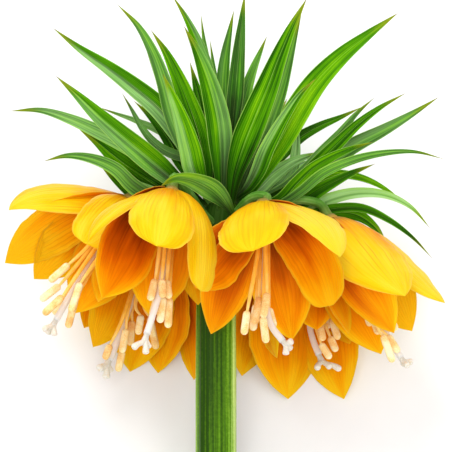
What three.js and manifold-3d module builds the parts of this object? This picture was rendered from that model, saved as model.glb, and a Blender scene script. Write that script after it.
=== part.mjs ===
// Yellow crown imperial, Fritillaria imperialis: the top of one cut flowering stem.
// A ring of six nodding bells hangs below a tuft of long strap leaves. The cut
// stem lies on a flat surface: the stem's cut end, the petals of the two lowest
// bells and the tips of the back leaves touch that surface.
//
// Flower frame (mm): X to the right, Y along the stem towards the crown,
// Z away from the surface the stem lies on. The whole flower is then leaned by
// LIE_ANGLE about X, so that it comes to rest, and set on Z = 0.
import * as THREE from 'three';
import Module from 'manifold-3d';
import { mergeVertices } from 'three/addons/utils/BufferGeometryUtils.js';

// ---------------------------------------------------------------- dimensions
const LIE_ANGLE = 22;          // lean of the flower frame on the surface, degrees
const LEAF_THICKNESS = 0.8;    // at the midrib
const LEAF_STEPS = 10;         // sections along a leaf
const LEAF_FIT = 0.94;         // share of the full leaf width held by the solid
const PETAL_THICKNESS = 0.9;
const PETAL_FIT = 0.97;
const STALK_RADIUS = 1.8;      // flower stalk
const FILAMENT_RADIUS = 0.5;
const ANTHER_RADIUS = 1.6;
const STYLE_RADIUS = 0.75;
const STEM_SIDES = 16;
const SHORTEST_EDGE = 0.12;

// Stem: [centre, radius] from the cut end to the growing tip.
const STEM = [
  [[-3.79, -147.26, 20.31], 7.79],
  [[-3.81, -117.32, 15.96], 7.79],
  [[-3.83, -84.83, 11.63], 7.75],
  [[-3.84, -58.02, 8.09], 7.75],
  [[-3.78, -30.26, 4.48], 7.68],
  [[-3.41, -9.1, 1.71], 7.45],
  [[-1.9, 5.32, -0.19], 6.46],
  [[-0.19, 16.75, -1.52], 3.8],
  [[0.38, 25.9, -2.28], 1.71],
];

// Leaves: [name, half width, shape, centre line from stem to tip].
// shape: fold = rise of both edges in degrees, roll = turn about the centre line,
// pk = where the leaf is widest, flat = blade lies across X, b0 = base share.
const LEAVES = [
  ['leaf_front_01', 4.94, {fold: 16, roll: -8, pk: 0.42}, [[-1.89, 8.31, 6.08], [-1.8, 18.15, 8.55], [-2.07, 27.87, 11.45], [-2.8, 37.44, 14.72], [-4.65, 46.92, 17.83], [-7.43, 56.19, 20.86], [-11.07, 65.2, 23.79], [-15.51, 73.87, 26.6]]],
  ['leaf_front_02', 5.51, {fold: 16, roll: 8, pk: 0.36}, [[1.51, 8.3, 6.84], [3.4, 19.6, 10.85], [6.79, 30.31, 15.43], [11, 40.84, 19.76], [15.44, 51.5, 23.5], [19.64, 62.37, 26.93], [24.26, 73.11, 30.17], [29.72, 83.66, 32.68]]],
  ['leaf_front_03', 3.23, {fold: 22, roll: 10}, [[4.91, 11.34, 5.32], [8.7, 14.86, 11.81], [12.18, 20.7, 16.34], [15.18, 28.07, 18.69], [18.86, 35.21, 20.79], [22.99, 42.22, 22.4], [27.65, 49.01, 23.46], [33.51, 54.8, 24.32]]],
  ['leaf_front_04', 4.67, {fold: 20, roll: -14, pk: 0.36}, [[-6.8, 10.57, 6.08], [-9.71, 16.07, 10.18], [-12.21, 22.04, 13.83], [-13.75, 28.87, 16.39], [-15.62, 35.77, 18.48], [-17.89, 42.69, 20.04], [-20.57, 49.57, 21.06], [-23.39, 56.44, 21.66]]],
  ['leaf_front_05', 4.29, {fold: 10}, [[-6.82, 9.85, 3.09], [-7.62, 19.46, 5.42], [-9.07, 28.98, 7.71], [-11.42, 38.32, 9.19], [-14.71, 47.43, 10.68], [-18.39, 56.44, 12.08], [-22.64, 65.24, 13.1], [-28.09, 73.41, 13.68]]],
  ['leaf_front_06', 3.42, {fold: 10}, [[-4.77, 12.17, 3.17], [-5.28, 19.25, 4.31], [-6.14, 26.34, 5.23], [-7.4, 33.4, 6.6], [-8.67, 40.48, 8.06], [-10.03, 47.58, 9.05], [-11.73, 54.63, 9.54], [-13.54, 61.67, 9.88]]],
  ['leaf_front_07', 5.32, {fold: 18, roll: 0, pk: 0.4}, [[6.45, 8.73, 1.51], [13.14, 19.75, 5.43], [19.77, 31.05, 8.62], [26.23, 42.7, 11.31], [33.73, 53.85, 12.68], [43.14, 63.56, 13.06], [53.69, 72.01, 12.52], [64.58, 79.97, 11.4]]],
  ['leaf_front_08', 3.42, {fold: 10}, [[4.03, 10.43, 2.46], [8.02, 20.15, 5.45], [12.1, 29.77, 8.84], [16.07, 39.46, 11.66], [19.71, 49.37, 14.09], [22.66, 59.61, 16.33], [25.43, 69.97, 18.2], [28.28, 80.37, 19.76]]],
  ['leaf_front_09', 3.42, {fold: 6, roll: 30, pk: 0.45}, [[2.26, 4.89, 13], [0.24, 7.87, 16.98], [-2.18, 10.79, 20.1], [-5.38, 13.56, 22.64], [-9.3, 15.75, 25.33], [-13.96, 17.35, 27.82], [-19.1, 17.49, 29.93], [-23.9, 14.71, 30.78]]],
  ['leaf_front_10', 3.5, {fold: 12}, [[-7.21, 10.62, 2.02], [-11.83, 21.42, 2.28], [-16.32, 32.29, 2.34], [-20.49, 43.29, 2.28], [-23.61, 54.62, 2.24], [-27.63, 65.67, 1.79], [-33.38, 75.86, 0.98], [-41.42, 84.36, 0]]],
  ['leaf_left_01', 4.48, {fold: 18}, [[-7.23, 10.27, 0.82], [-11.47, 22.52, -0.89], [-17.03, 34.21, -1.8], [-24.97, 44.43, -2.56], [-34.78, 52.86, -3.41], [-45.17, 60.6, -4.27], [-55.91, 67.81, -5.2], [-66.16, 75.72, -6.08]]],
  ['leaf_left_02', 5.02, {fold: 24, roll: 10}, [[-9.08, 8.7, 4.56], [-16.63, 15.21, 8.05], [-24.26, 21.74, 11.31], [-32.13, 28.34, 13.76], [-40.2, 34.99, 15.18], [-48.18, 41.9, 15.24], [-55.83, 49.16, 14.55], [-63.67, 56.18, 13.68]]],
  ['leaf_left_03', 3.34, {fold: 14}, [[-8.73, 8.73, 1.81], [-17.81, 16.51, 3.21], [-27.21, 23.93, 4.16], [-37.45, 30.21, 4.54], [-48.19, 35.64, 4.59], [-59.08, 40.51, 3.11], [-70.44, 43.91, 1.11], [-82.18, 43.75, -1.14]]],
  ['leaf_left_04', 5.32, {fold: 10}, [[-8.73, 6.83, -2.21], [-16.05, 10.04, -8.62], [-23.32, 13.36, -12.17], [-30.08, 17.61, -4.57], [-36.71, 22.13, 1.98], [-43.04, 27.04, 3.36], [-49.18, 32.16, 2.89], [-55.73, 36.77, 2.28]]],
  ['leaf_left_05', 3.12, {fold: 16}, [[-9.45, 5.67, 5.32], [-18.36, 7.95, 7.41], [-27.21, 10.42, 9.53], [-34.9, 15.11, 11.92], [-41.55, 21.49, 13.79], [-50.14, 25.2, 13.82], [-59.4, 26.34, 12.52], [-68.39, 24.42, 10.64]]],
  ['leaf_left_06', 3.99, {fold: 12}, [[-9.48, 4.93, -0.86], [-15.6, 6.22, -5.74], [-21.72, 7.5, -9.99], [-27.79, 9.02, -8.79], [-33.45, 11.59, -3.41], [-38.62, 15.14, 2.4], [-43.44, 19.22, 6.13], [-47.87, 23.75, 7.34]]],
  ['leaf_left_07', 3.04, {fold: 10}, [[-6.86, 11.44, -3.06], [-10.93, 16.66, -4.75], [-14.97, 21.91, -6.64], [-18.7, 27.4, -8.36], [-22.01, 33.18, -9.45], [-25.94, 38.61, -10.23], [-30.47, 43.56, -11.13], [-35.41, 48.11, -12.16]]],
  ['leaf_right_01', 2.74, {fold: 10}, [[4.57, 9.91, -3.18], [10.28, 16.27, -5.06], [16.08, 22.57, -7.08], [22.2, 28.64, -9.06], [28.74, 34.32, -9.93], [36.35, 38.52, -10.06], [44.38, 41.96, -10.28], [52.26, 45.73, -10.64]]],
  ['leaf_right_02', 2.81, {fold: 8}, [[6.09, 7.23, -1.52], [14.86, 10.81, -2.29], [23.49, 14.72, -2.98], [30.54, 20.97, -3.09], [36.81, 28.11, -3.07], [43.25, 35.09, -2.79], [49.3, 42.39, -2.32], [56.35, 48.74, -1.9]]],
  ['leaf_right_03', 2.96, {fold: 16}, [[6.46, 6.84, -0.3], [16.84, 10.52, 0.26], [26.71, 15.27, 0.93], [34.26, 23.24, 1.67], [42.09, 31, 1.94], [50.04, 38.61, 1.74], [58.83, 45.17, 0.96], [68.4, 50.54, 0]]],
  ['leaf_right_04', 3.88, {fold: 14}, [[6.1, 5.34, -3.04], [17.48, 10.31, -5.09], [28.34, 16.45, -6.55], [38.37, 24.04, -6.9], [48.93, 30.89, -6.83], [60.12, 36.64, -6.97], [71.05, 42.81, -7.74], [81.68, 49.47, -8.74]]],
  ['leaf_right_05', 2.89, {fold: 14}, [[5.68, 4.92, 3.92], [13.63, 7.03, 5.46], [21.23, 10, 6.17], [26.86, 15.93, 7.13], [32.84, 21.66, 7.71], [39.9, 26.02, 7.96], [47.52, 29.31, 7.54], [55.46, 31.69, 6.84]]],
  ['leaf_right_06', 1.98, {fold: 12}, [[6.05, 4.16, 5.32], [17.4, 6.94, 7.87], [27.25, 12.52, 10.78], [36.49, 19.88, 12.13], [47.42, 24.69, 12.12], [59.01, 27.38, 11.07], [70.82, 27.93, 9.44], [82.21, 25.27, 7.22]]],
  ['leaf_right_07', 3.42, {fold: 14}, [[6.07, 3.79, -0.91], [13.79, 4.93, -5.15], [21.47, 6.27, -6.65], [28.61, 9.31, -1.77], [35.16, 13.55, 2.67], [42.03, 17.29, 4.05], [49.09, 20.66, 4.12], [56.39, 23.47, 3.8]]],
  ['leaf_right_08', 2.2, {fold: 8}, [[5.73, 5.35, -4.56], [14.69, 9.42, -7.18], [23.71, 13.45, -9.67], [32.91, 17.45, -11.46], [42.66, 19.93, -12.62], [52.66, 18.4, -13.15], [61.83, 14.02, -13.6], [69.8, 7.71, -14.06]]],
  ['leaf_right_09', 2.58, {fold: 14}, [[6.46, 3.04, -2.34], [17.59, 3.85, -8.45], [28.65, 5.24, -5.34], [38.72, 10.03, -1.85], [49.53, 12.64, -2.33], [60.59, 11.98, -3.53], [70.53, 7.3, -5.21], [78.08, -0.77, -6.84]]],
  ['leaf_right_10', 1.98, {fold: 12}, [[6.81, 2.27, 3.8], [18.09, 2.74, 3.72], [29.33, 3.6, 2.24], [40.17, 6.58, 0.81], [51.38, 6.85, 2.18], [61.58, 2.42, 1.33], [70.64, -4.14, 0.01], [78.41, -12.18, -1.52]]],
  ['leaf_right_11', 3.99, {fold: 8}, [[6.12, 1.91, -6.65], [14.95, 2.3, -8.69], [23.79, 2.71, -9.14], [32.58, 3.71, -8.15], [41.26, 5.41, -7.63], [50, 4.39, -7.58], [57.22, -0.6, -7.19], [62, -8.04, -6.84]]],
  ['leaf_right_12', 2.28, {fold: 8, pk: 0.6}, [[4.59, 10.7, -5.07], [10.49, 12.03, -7.04], [16.38, 13.62, -8.93], [21.93, 16.6, -9.39], [25.41, 21.74, -8.9], [26.69, 27.93, -8.13], [27.18, 34.26, -7.66], [27.58, 40.6, -7.46]]],
  ['leaf_right_13', 3.04, {fold: 8}, [[4.58, 7.64, -3.42], [8.99, 11.1, -3.85], [13.28, 14.72, -4.7], [17.28, 18.66, -5.33], [21.7, 22.05, -5.75], [26.46, 24.92, -6.41], [31.6, 26.88, -7.78], [36.86, 28.41, -9.47]]],
  ['leaf_back_01', 3.42, {fold: 12, flat: 1}, [[-5.35, 11.46, -5.32], [-8.7, 17.81, -13.77], [-12.24, 24.07, -22.2], [-16.02, 30.22, -30.61], [-19.9, 36.25, -39.39], [-23.83, 42.13, -48.77], [-27.5, 47.61, -58.83], [-31.68, 52.8, -68.68]]],
  ['leaf_back_02', 3.42, {fold: 12, flat: 1}, [[3.15, 12.39, -4.81], [6.32, 18.39, -13.23], [9.57, 24.35, -21.64], [12.98, 30.27, -30.03], [16.13, 35.92, -38.94], [19.01, 41.31, -48.47], [21.93, 46.55, -58.33], [24.78, 51.6, -68.2]]],
  ['leaf_back_03', 3.42, {fold: 12, flat: 1}, [[5.34, 9.16, -5.12], [10.5, 12.73, -12.45], [15.77, 16.12, -19.43], [21.26, 19.16, -26.68], [26.78, 22.07, -34.48], [32.31, 24.89, -42.79], [37.88, 27.73, -51.35], [43.5, 30.61, -59.72]]],
  ['leaf_back_04', 3.42, {fold: 12, flat: 1}, [[-7.62, 7.62, -3.04], [-13.07, 12.21, -11.06], [-18.66, 16.79, -18.99], [-24.48, 21.34, -26.76], [-30.2, 25.91, -35], [-35.75, 30.52, -43.95], [-40.9, 35.07, -53.6], [-45.62, 39.56, -63.33]]],
];

// The young leaves in the middle grow together from one bud at the stem's tip.
const SIDE_BLADES = ['tuft_07', 'tuft_08', 'tuft_09'];
const BUD = [[0.5, 26.44, -2.36], [0.76, 32.79, -3.23]];
const TUFT = [
  ['tuft_01', 3.04, {fold: 8, b0: 0.34}, [[0, 28.93, -1.52], [-2.01, 37.1, 1.74], [-4.63, 45.34, 4.12], [-6.16, 54.22, 4.9], [-8.37, 62.93, 5.78], [-11.55, 71.33, 6.8], [-15.54, 79.39, 7.55], [-20.34, 87.01, 8.36]]],
  ['tuft_02', 1.71, {fold: 8, b0: 0.34}, [[0, 28.97, -3.04], [-1.7, 36.3, -3.75], [-3.33, 43.66, -4.22], [-4.84, 51.06, -4.27], [-6.26, 58.47, -4.17], [-7.59, 65.91, -3.95], [-8.72, 73.37, -3.77], [-9.54, 80.88, -3.8]]],
  ['tuft_03', 1.6, {fold: 8, b0: 0.34}, [[0.38, 29.02, -4.56], [-0.4, 34.91, -6.34], [-1.35, 40.86, -7.79], [-2.77, 46.85, -8.5], [-3.85, 52.94, -8.87], [-4.55, 59.1, -9.02], [-5.29, 65.25, -9.21], [-6.14, 71.39, -9.5]]],
  ['tuft_04', 2.85, {fold: 10, b0: 0.34}, [[0.76, 29, -3.8], [-0.27, 36.57, -5.2], [-1.43, 44.21, -5.99], [-1.42, 51.97, -6.12], [-0.93, 59.73, -6.07], [0.07, 67.43, -6.24], [1.52, 75.06, -6.53], [3.06, 82.67, -6.84]]],
  ['tuft_05', 3.31, {fold: 16, b0: 0.34}, [[1.14, 28.95, -2.28], [2.25, 37.14, 0.26], [3.1, 45.71, 1.14], [3.87, 54.33, 1.54], [4.6, 62.96, 1.54], [5.4, 71.59, 1.54], [6.28, 80.21, 1.47], [7.21, 88.81, 1.14]]],
  ['tuft_06', 2.66, {fold: 10, b0: 0.34}, [[1.53, 28.98, -3.42], [3.62, 35.19, -3.43], [5.31, 41.51, -3.22], [6.91, 47.85, -2.97], [8.5, 54.2, -2.69], [10.6, 60.39, -2.77], [13.09, 66.44, -3.1], [15.64, 72.46, -3.42]]],
  ['tuft_07', 2.09, {fold: 10, b0: 0.34}, [[-1.14, 28.61, -3.8], [-7.28, 32.29, -4.72], [-12.94, 36.72, -5.21], [-17.99, 41.86, -5.3], [-22.03, 47.81, -4.9], [-25.03, 54.31, -4.17], [-27.81, 60.95, -4.55], [-30.56, 67.61, -4.94]]],
  ['tuft_08', 1.71, {fold: 8, b0: 0.34}, [[-1.53, 27.87, -4.56], [-8.14, 29.66, -7.72], [-14.9, 31.91, -10.21], [-21.72, 34.7, -11.81], [-28.45, 38.02, -12.61], [-35.36, 40.88, -13.56], [-42.41, 43.38, -14.66], [-49.44, 45.96, -15.58]]],
  ['tuft_09', 1.98, {fold: 10, b0: 0.34}, [[-1.53, 27.47, -3.75], [-8.42, 26.25, -5.47], [-15.5, 26.36, -6.54], [-22.42, 28.43, -7.18], [-28.24, 32.68, -7.56], [-32.69, 38.42, -7.61], [-36.2, 44.75, -8.38], [-39.88, 51, -8.74]]],
  ['tuft_10', 3.42, {fold: 12, flat: 1, b0: 0.34}, [[0.76, 29.02, -4.56], [0.68, 32.12, -13.51], [0.93, 35.4, -22.38], [1.52, 38.89, -31.16], [2.32, 42.43, -40.17], [3.34, 46.02, -49.51], [4.46, 49.52, -59.14], [5.69, 52.84, -68.7]]],
  ['tuft_11', 3.23, {fold: 12, flat: 1, b0: 0.34}, [[-1.15, 28.25, -4.56], [-3.75, 31.67, -13.51], [-6.09, 35.25, -22.47], [-8.08, 39, -31.44], [-9.98, 42.98, -40.62], [-11.81, 47.25, -50.1], [-13.63, 51.48, -59.88], [-15.46, 55.32, -69.7]]],
];

// Flowers. base and axis place the bell; tepals: [tip, half width, shape];
// each stamen: foot on the ring, filament, foot of the anther, tip of the anther.
const FLOWERS = [
  {
    n: 1, base: [-36.33, 10.22, 3.8], axis: [-0.4840, -0.8055, 0.3420],
    stalk: [[-9.38, 4.21, 1.32], [-13.3, 6.38, 1.69], [-17.22, 8.56, 2.01], [-21.22, 10.59, 2.35], [-25.34, 12.33, 2.84], [-29.53, 13.92, 2.97], [-33.63, 14.99, 1.75], [-35.63, 11.39, 3.3]],
    tepals: [
      [[-51.8, -6.2, 38], 8.74, {blunt: 1, tw: 6, m: [0.38, -0.76, -3.42]}],
      [[-81.34, 6, 12.92], 10.64, {tw: -12, m: [1.52, -3.04, 0]}],
      [[-83.31, -13.95, 7.6], 12.54, {tw: -18, m: [1.52, -2.66, 0]}],
      [[-73.14, -20.19, -2.28], 12.54, {m: [0.76, -0.76, 0]}],
      [[-57, -33.06, 0], 12.16, {}],
      [[-48.17, -28.6, 9.12], 11.4, {}],
    ],
    ring: 3.1,
    stamens: [
      [[-39.98, 8.98, 6.11], [-51.1, -6.76, 10.7], [-59.15, -14.6, 14.03], [-65.75, -20.55, 16.04]],
      [[-40.26, 8.06, 3.53], [-49.43, -6.41, 6.64], [-62.76, -22.55, 10.53], [-69.38, -27.75, 12.39]],
      [[-37.78, 8.29, 7.59], [-48.45, -7.51, 10.99], [-61.19, -26.49, 17.19], [-67.76, -32.76, 19.22]],
      [[-38.33, 6.43, 2.44], [-47.51, -7.54, 6.85], [-61.14, -27.01, 11.37], [-64.41, -32.95, 12.9]],
      [[-35.84, 6.66, 6.5], [-45.52, -8.28, 9.92], [-54.69, -21.73, 14.33], [-57.91, -31.76, 16.66]],
      [[-36.12, 5.74, 3.92], [-46.43, -9.06, 6.23], [-56.78, -27.82, 9.99], [-59.26, -37.88, 12.27]],
    ],
    style: [[-37.54, 8.21, 4.66], [-40.25, 3.69, 6.57], [-47.82, -7.91, 8.63], [-55.53, -21.01, 12.13], [-61.36, -31.05, 14.76], [-63.54, -35.13, 15.8]],
    stigma: [[-68.1, -38.7, 19.75], [-64.2, -41.06, 17.04], [-66.99, -40.42, 14.53]],
  },
  {
    n: 2, base: [-20.01, 13.16, 23.56], axis: [-0.1986, -0.8603, 0.4695],
    stalk: [[-6.64, 2.21, 6.54], [-8.55, 4.39, 9.72], [-10.31, 6.94, 12.71], [-12.04, 9.67, 15.54], [-14.02, 12.42, 18.19], [-16.34, 15.44, 20.14], [-19.12, 18.21, 21.01], [-19.72, 14.4, 22.88]],
    tepals: [
      [[-24.75, -7.07, 66.12], 11.4, {blunt: 1, m: [-0.76, -1.14, 0]}],
      [[-49.29, -5.72, 57], 8.36, {tw: -2, m: [0, -0.38, 0]}],
      [[-45.27, -26.29, 37.24], 13.68, {tw: -17, m: [1.9, -1.14, 3.8]}],
      [[-28.28, -33.49, 19.76], 11.78, {}],
      [[-10.47, -29.54, 15.2], 9.88, {m: [0, 0, -1.14]}],
      [[-8.25, -15.78, 53.2], 9.5, {tw: -8, m: [0.38, 2.28, 2.28]}],
    ],
    ring: 4.15,
    stamens: [
      [[-23.23, 10.29, 26.75], [-24.22, -6.97, 32.18], [-25.91, -19.71, 37.24], [-27.66, -26.93, 39.82]],
      [[-23.29, 8.98, 24.33], [-23.59, -7, 27.49], [-25.27, -26.37, 32.59], [-27.03, -32.87, 34.92]],
      [[-20.87, 10.51, 28.14], [-22.38, -7.34, 34.28], [-23.34, -19.69, 40.47], [-22.92, -25.83, 42.57]],
      [[-20.98, 7.89, 23.3], [-21.72, -7.36, 29.32], [-23.04, -26.34, 35.29], [-24.06, -35, 38.32]],
      [[-18.56, 9.41, 27.11], [-20.58, -6.98, 31.89], [-21.56, -20.1, 37.16], [-20.78, -26.25, 39.28]],
      [[-18.62, 8.11, 24.69], [-19.92, -7.01, 27.16], [-20.89, -26.75, 32.36], [-21.18, -36.87, 35.87]],
    ],
    style: [[-20.72, 10.1, 25.23], [-21.83, 5.28, 27.86], [-22.06, -7.72, 31.12], [-24.13, -23.4, 37.21], [-26.94, -33.5, 40.83], [-28.7, -39.23, 42.91]],
    stigma: [[-33.61, -44.09, 47.65], [-28.98, -46.37, 45.41], [-28, -44.37, 41.94]],
  },
  {
    n: 3, base: [13.71, 8.52, 23.56], axis: [0.0616, -0.8808, 0.4695],
    stalk: [[1.88, 1.66, 6.83], [3.36, 3.73, 9.83], [4.7, 6.08, 12.69], [6.06, 8.54, 15.46], [7.78, 10.77, 18.21], [10.42, 12.76, 20.22], [13.68, 13.32, 21.14], [13.62, 9.8, 22.88]],
    tepals: [
      [[9.54, -8.83, 66.88], 11.78, {blunt: 1, m: [0, -0.76, 0]}],
      [[-11.35, -22.69, 34.96], 12.16, {tw: -14, m: [3.42, -4.18, -2.28], u: [-1, 0, -0.6]}],
      [[-5.55, -39.96, 25.08], 12.16, {m: [2.66, 0, 1.14]}],
      [[24.64, -42.56, 16.72], 11.78, {m: [-1.14, 0, 0]}],
      [[39.16, -28.92, 34.96], 12.92, {blunt: 1, tw: 14, m: [0.38, -2.28, 1.9]}],
      [[40.86, -11.11, 53.96], 11.02, {tw: -24, m: [-1.52, 0, 0.76]}],
    ],
    ring: 3.4,
    stamens: [
      [[11.53, 5.61, 26.58], [12.13, -6.99, 30.71], [7.64, -31.3, 40.04], [6.53, -39.19, 42.82]],
      [[14.04, 3.84, 22.94], [13.3, -5.91, 27.15], [12.11, -26.41, 33.75], [10.6, -35.46, 36.91]],
      [[13.86, 6.42, 27.8], [14.34, -5.88, 32.01], [14.95, -24.8, 40.34], [13.45, -33.08, 43.21]],
      [[16.37, 4.65, 24.15], [15.5, -5.9, 26.46], [15.73, -30.37, 33.75], [17.52, -36.86, 36.04]],
      [[16.28, 5.94, 26.58], [14.72, -7.36, 30.83], [13.48, -33.51, 40.83], [14.52, -42.11, 43.85]],
      [[11.62, 4.32, 24.15], [12.56, -7.39, 25.23], [11, -29.34, 30.85], [9.87, -38.02, 33.88]],
    ],
    style: [[13.88, 6.06, 24.87], [14.23, 1.12, 27.5], [14.37, -7.37, 28.81], [14.27, -25.61, 34.87], [16.4, -35.72, 38.41], [20.72, -41.81, 40.69]],
    stigma: [[23.92, -41.68, 43.54], [21.77, -46.81, 42.48], [23.67, -44.79, 39.18]],
  },
  {
    n: 4, base: [38.92, 2.83, 5.32], axis: [0.4318, -0.8474, 0.3090],
    stalk: [[5.4, 4.35, 1.26], [10.28, 6.29, 1.92], [15.29, 7.8, 2.74], [20.4, 9.01, 3.44], [25.58, 9.91, 4.04], [30.84, 9.68, 4.06], [35.86, 8.12, 3.48], [38.29, 4.06, 4.87]],
    tepals: [
      [[65.35, -25.56, 37.24], 14.06, {m: [-3.8, -3.8, -1.9]}],
      [[81.89, -28.79, 15.2], 10.64, {tw: 2, m: [-3.04, -5.7, 0]}],
      [[70.91, -40.03, -3.04], 12.16, {}],
      [[62.21, -39.62, 24.32], 10.64, {u: [-0.5, -0.1, 0.85]}],
      [[58.9, -48.64, 0], 12.54, {}],
      [[46.1, -40.48, 12.92], 12.16, {}],
    ],
    ring: 3.4,
    stamens: [
      [[40.2, 0.33, 9.13], [55.63, -35.84, 18.55], [58.48, -40.97, 21.96], [61.69, -50.17, 24.17]],
      [[40.97, -1.19, 3.89], [53.31, -29.66, 9.53], [54.81, -33.04, 8.32], [57.33, -40.47, 10.08]],
      [[42.51, 1.03, 7.82], [57.53, -29.51, 16.11], [60.02, -32.43, 18.01], [63.27, -38.7, 19.61]],
      [[42.9, 0.27, 5.2], [54.02, -29.26, 11.42], [56.62, -32.25, 11.31], [59.89, -38.56, 12.92]],
      [[38.27, -1.13, 7.82], [55.32, -34.39, 16.29], [60.4, -41.02, 19.13], [64.03, -46.9, 20.7]],
      [[38.65, -1.89, 5.2], [51.12, -27.82, 7.03], [52.64, -30.83, 4.59], [54.43, -37.54, 6.14]],
    ],
    style: [[40.13, 0.46, 6.19], [42.55, -4.28, 7.92], [56.87, -34.42, 14.56], [59.77, -40.35, 16.01], [63.4, -46.24, 17.58], [65.21, -49.19, 18.36]],
    stigma: [[67.56, -51.97, 21.89], [69.62, -50.63, 19.14], [66.48, -51.54, 16.26]],
  },
  {
    n: 5, base: [-27.86, -6.19, -17.48], axis: [-0.2243, -0.8996, 0.3746],
    stalk: [[-8.03, -1, -4.95], [-10.89, 0.44, -7.79], [-13.72, 1.67, -10.75], [-16.95, 2.4, -13.45], [-20.74, 2.37, -15.42], [-24.28, 1.45, -17.56], [-26.73, -1.13, -19.79], [-27.54, -4.89, -18.02]],
    tepals: [
      [[-51.23, -46.61, -12.92], 12.54, {tw: -10, m: [1.14, 0, 0], u: [-0.8, 0, -0.4]}],
      [[-55.08, -39.57, -19.76], 11.4, {u: [-0.7, 0, -0.7]}],
      [[-37.42, -56.9, -24.36], 12.16, {}],
      [[-26.48, -57.23, -23.36], 12.16, {}],
      [[-12.38, -59.6, -17.52], 11.78, {}],
      [[-27.9, -33.93, 7.6], 9.5, {}],
    ],
    ring: 2.65,
    stamens: [
      [[-31.2, -8.23, -16.1], [-39.13, -34.14, -8.18], [-44.33, -45.48, -4.06], [-46.18, -50.76, -2.82]],
      [[-30.29, -9.42, -18.41], [-38.13, -34.28, -13.07], [-39.96, -48.41, -10.96], [-41.43, -55.62, -9.34]],
      [[-26.82, -8.54, -14.23], [-34.56, -28.42, -10.01], [-32.56, -34.48, -7.78], [-33.66, -41.31, -6.25]],
      [[-25.92, -9.73, -16.54], [-31.61, -28.52, -13.62], [-29.26, -35.43, -12.64], [-26.88, -46.85, -10.14]],
      [[-29.46, -7.79, -14.01], [-36.91, -28.45, -10.79], [-38.33, -39.86, -7.61], [-39.79, -48.2, -5.75]],
      [[-27.66, -10.17, -18.63], [-35.5, -28.56, -15.31], [-36.25, -37.02, -14.9], [-36.94, -45.79, -13]],
    ],
    style: [[-28.32, -8.04, -16.71], [-29.58, -13.07, -14.61], [-36.93, -30.39, -12.12], [-40.3, -39.92, -10.32], [-43.66, -48.64, -8.26], [-44.78, -51.29, -7.62]],
    stigma: [[-48.8, -54.52, -3.92], [-45.86, -58.47, -6.04], [-44.48, -55.99, -9.37]],
  },
  {
    n: 6, base: [29.82, -9.3, -18.24], axis: [0.0647, -0.9249, 0.3746],
    stalk: [[3.41, -2.97, -4.57], [7.31, -1.55, -7.76], [11.45, -0.49, -10.8], [15.81, 0.09, -13.63], [20.44, 0.05, -16.08], [25, -1, -18.39], [29.14, -3.49, -20.38], [29.73, -7.95, -18.78]],
    tepals: [
      [[19.3, -49.96, 3.8], 11.78, {m: [-5.32, -1.52, 0]}],
      [[6.2, -58.14, -19.04], 12.54, {u: [-0.6, 0, -0.8]}],
      [[24.03, -67.04, -18.78], 14.06, {m: [-1.9, 0, 0]}],
      [[45.65, -66.93, -17.25], 12.16, {m: [-3.04, 0, 0]}],
      [[47.91, -45.59, -15.96], 12.16, {m: [0, 0, -1.52]}],
      [[34.41, -39.33, 4.56], 10.64, {m: [-1.52, 0, -1.14]}],
    ],
    ring: 2.8,
    stamens: [
      [[31.74, -11.39, -15.07], [35.36, -28.44, -10.82], [40.6, -36, -7.52], [42.8, -43.18, -5.4]],
      [[28.32, -13.21, -18.98], [33.19, -28.56, -14.67], [37.39, -34.69, -13.52], [39.64, -39.26, -12.11]],
      [[29.03, -11.4, -14.63], [32.27, -28.43, -9.48], [35.6, -36.37, -5.41], [37.05, -43.55, -3.35]],
      [[31.04, -13.2, -19.42], [34.7, -28.53, -12.82], [39.94, -42.63, -8.42], [42.17, -47.92, -6.81]],
      [[27.32, -12.31, -16.58], [31.55, -28.47, -10.89], [36.35, -45.15, -4.97], [39.72, -50.42, -3.31]],
      [[32.75, -12.29, -17.47], [36.28, -28.56, -16.29], [38.59, -32.42, -16.94], [41.23, -36.99, -15.48]],
    ],
    style: [[29.96, -11.33, -17.42], [30.33, -16.51, -15.32], [31.2, -28.5, -14.02], [32.25, -39.16, -12.71], [33.73, -44.85, -11.08], [35.6, -49.38, -9.74]],
    stigma: [[34.68, -54.5, -3.43], [40.12, -54.26, -5.94], [44.05, -55.15, -8.11]],
  },
];

// ---------------------------------------------------------------- vectors
const V = (p) => new THREE.Vector3(p[0], p[1], p[2]);
const add = (a, b, s = 1) => a.clone().addScaledVector(b, s);
const lerp = (a, b, t) => a + (b - a) * t;
const rad = THREE.MathUtils.degToRad;

/** Points at equal shares ts of a polyline's length, with unit tangents. */
function resample(line, ts) {
  const cum = [0];
  for (let i = 1; i < line.length; i++) cum.push(cum[i - 1] + line[i].distanceTo(line[i - 1]));
  const L = cum[cum.length - 1];
  const at = (s) => {
    s = Math.min(Math.max(s, 0), L);
    let i = 1;
    while (i < cum.length - 1 && cum[i] < s) i++;
    const t = (s - cum[i - 1]) / (cum[i] - cum[i - 1]);
    return line[i - 1].clone().lerp(line[i], t);
  };
  const e = 0.02 * L;
  return {
    length: L,
    pos: ts.map((t) => at(t * L)),
    tan: ts.map((t) => at(t * L + e).sub(at(t * L - e)).normalize()),
  };
}

/** A smooth curve through the points, sampled finely. */
function smooth(points) {
  return new THREE.CatmullRomCurve3(points, false, 'catmullrom', 0.5).getPoints((points.length - 1) * 24);
}

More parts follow.
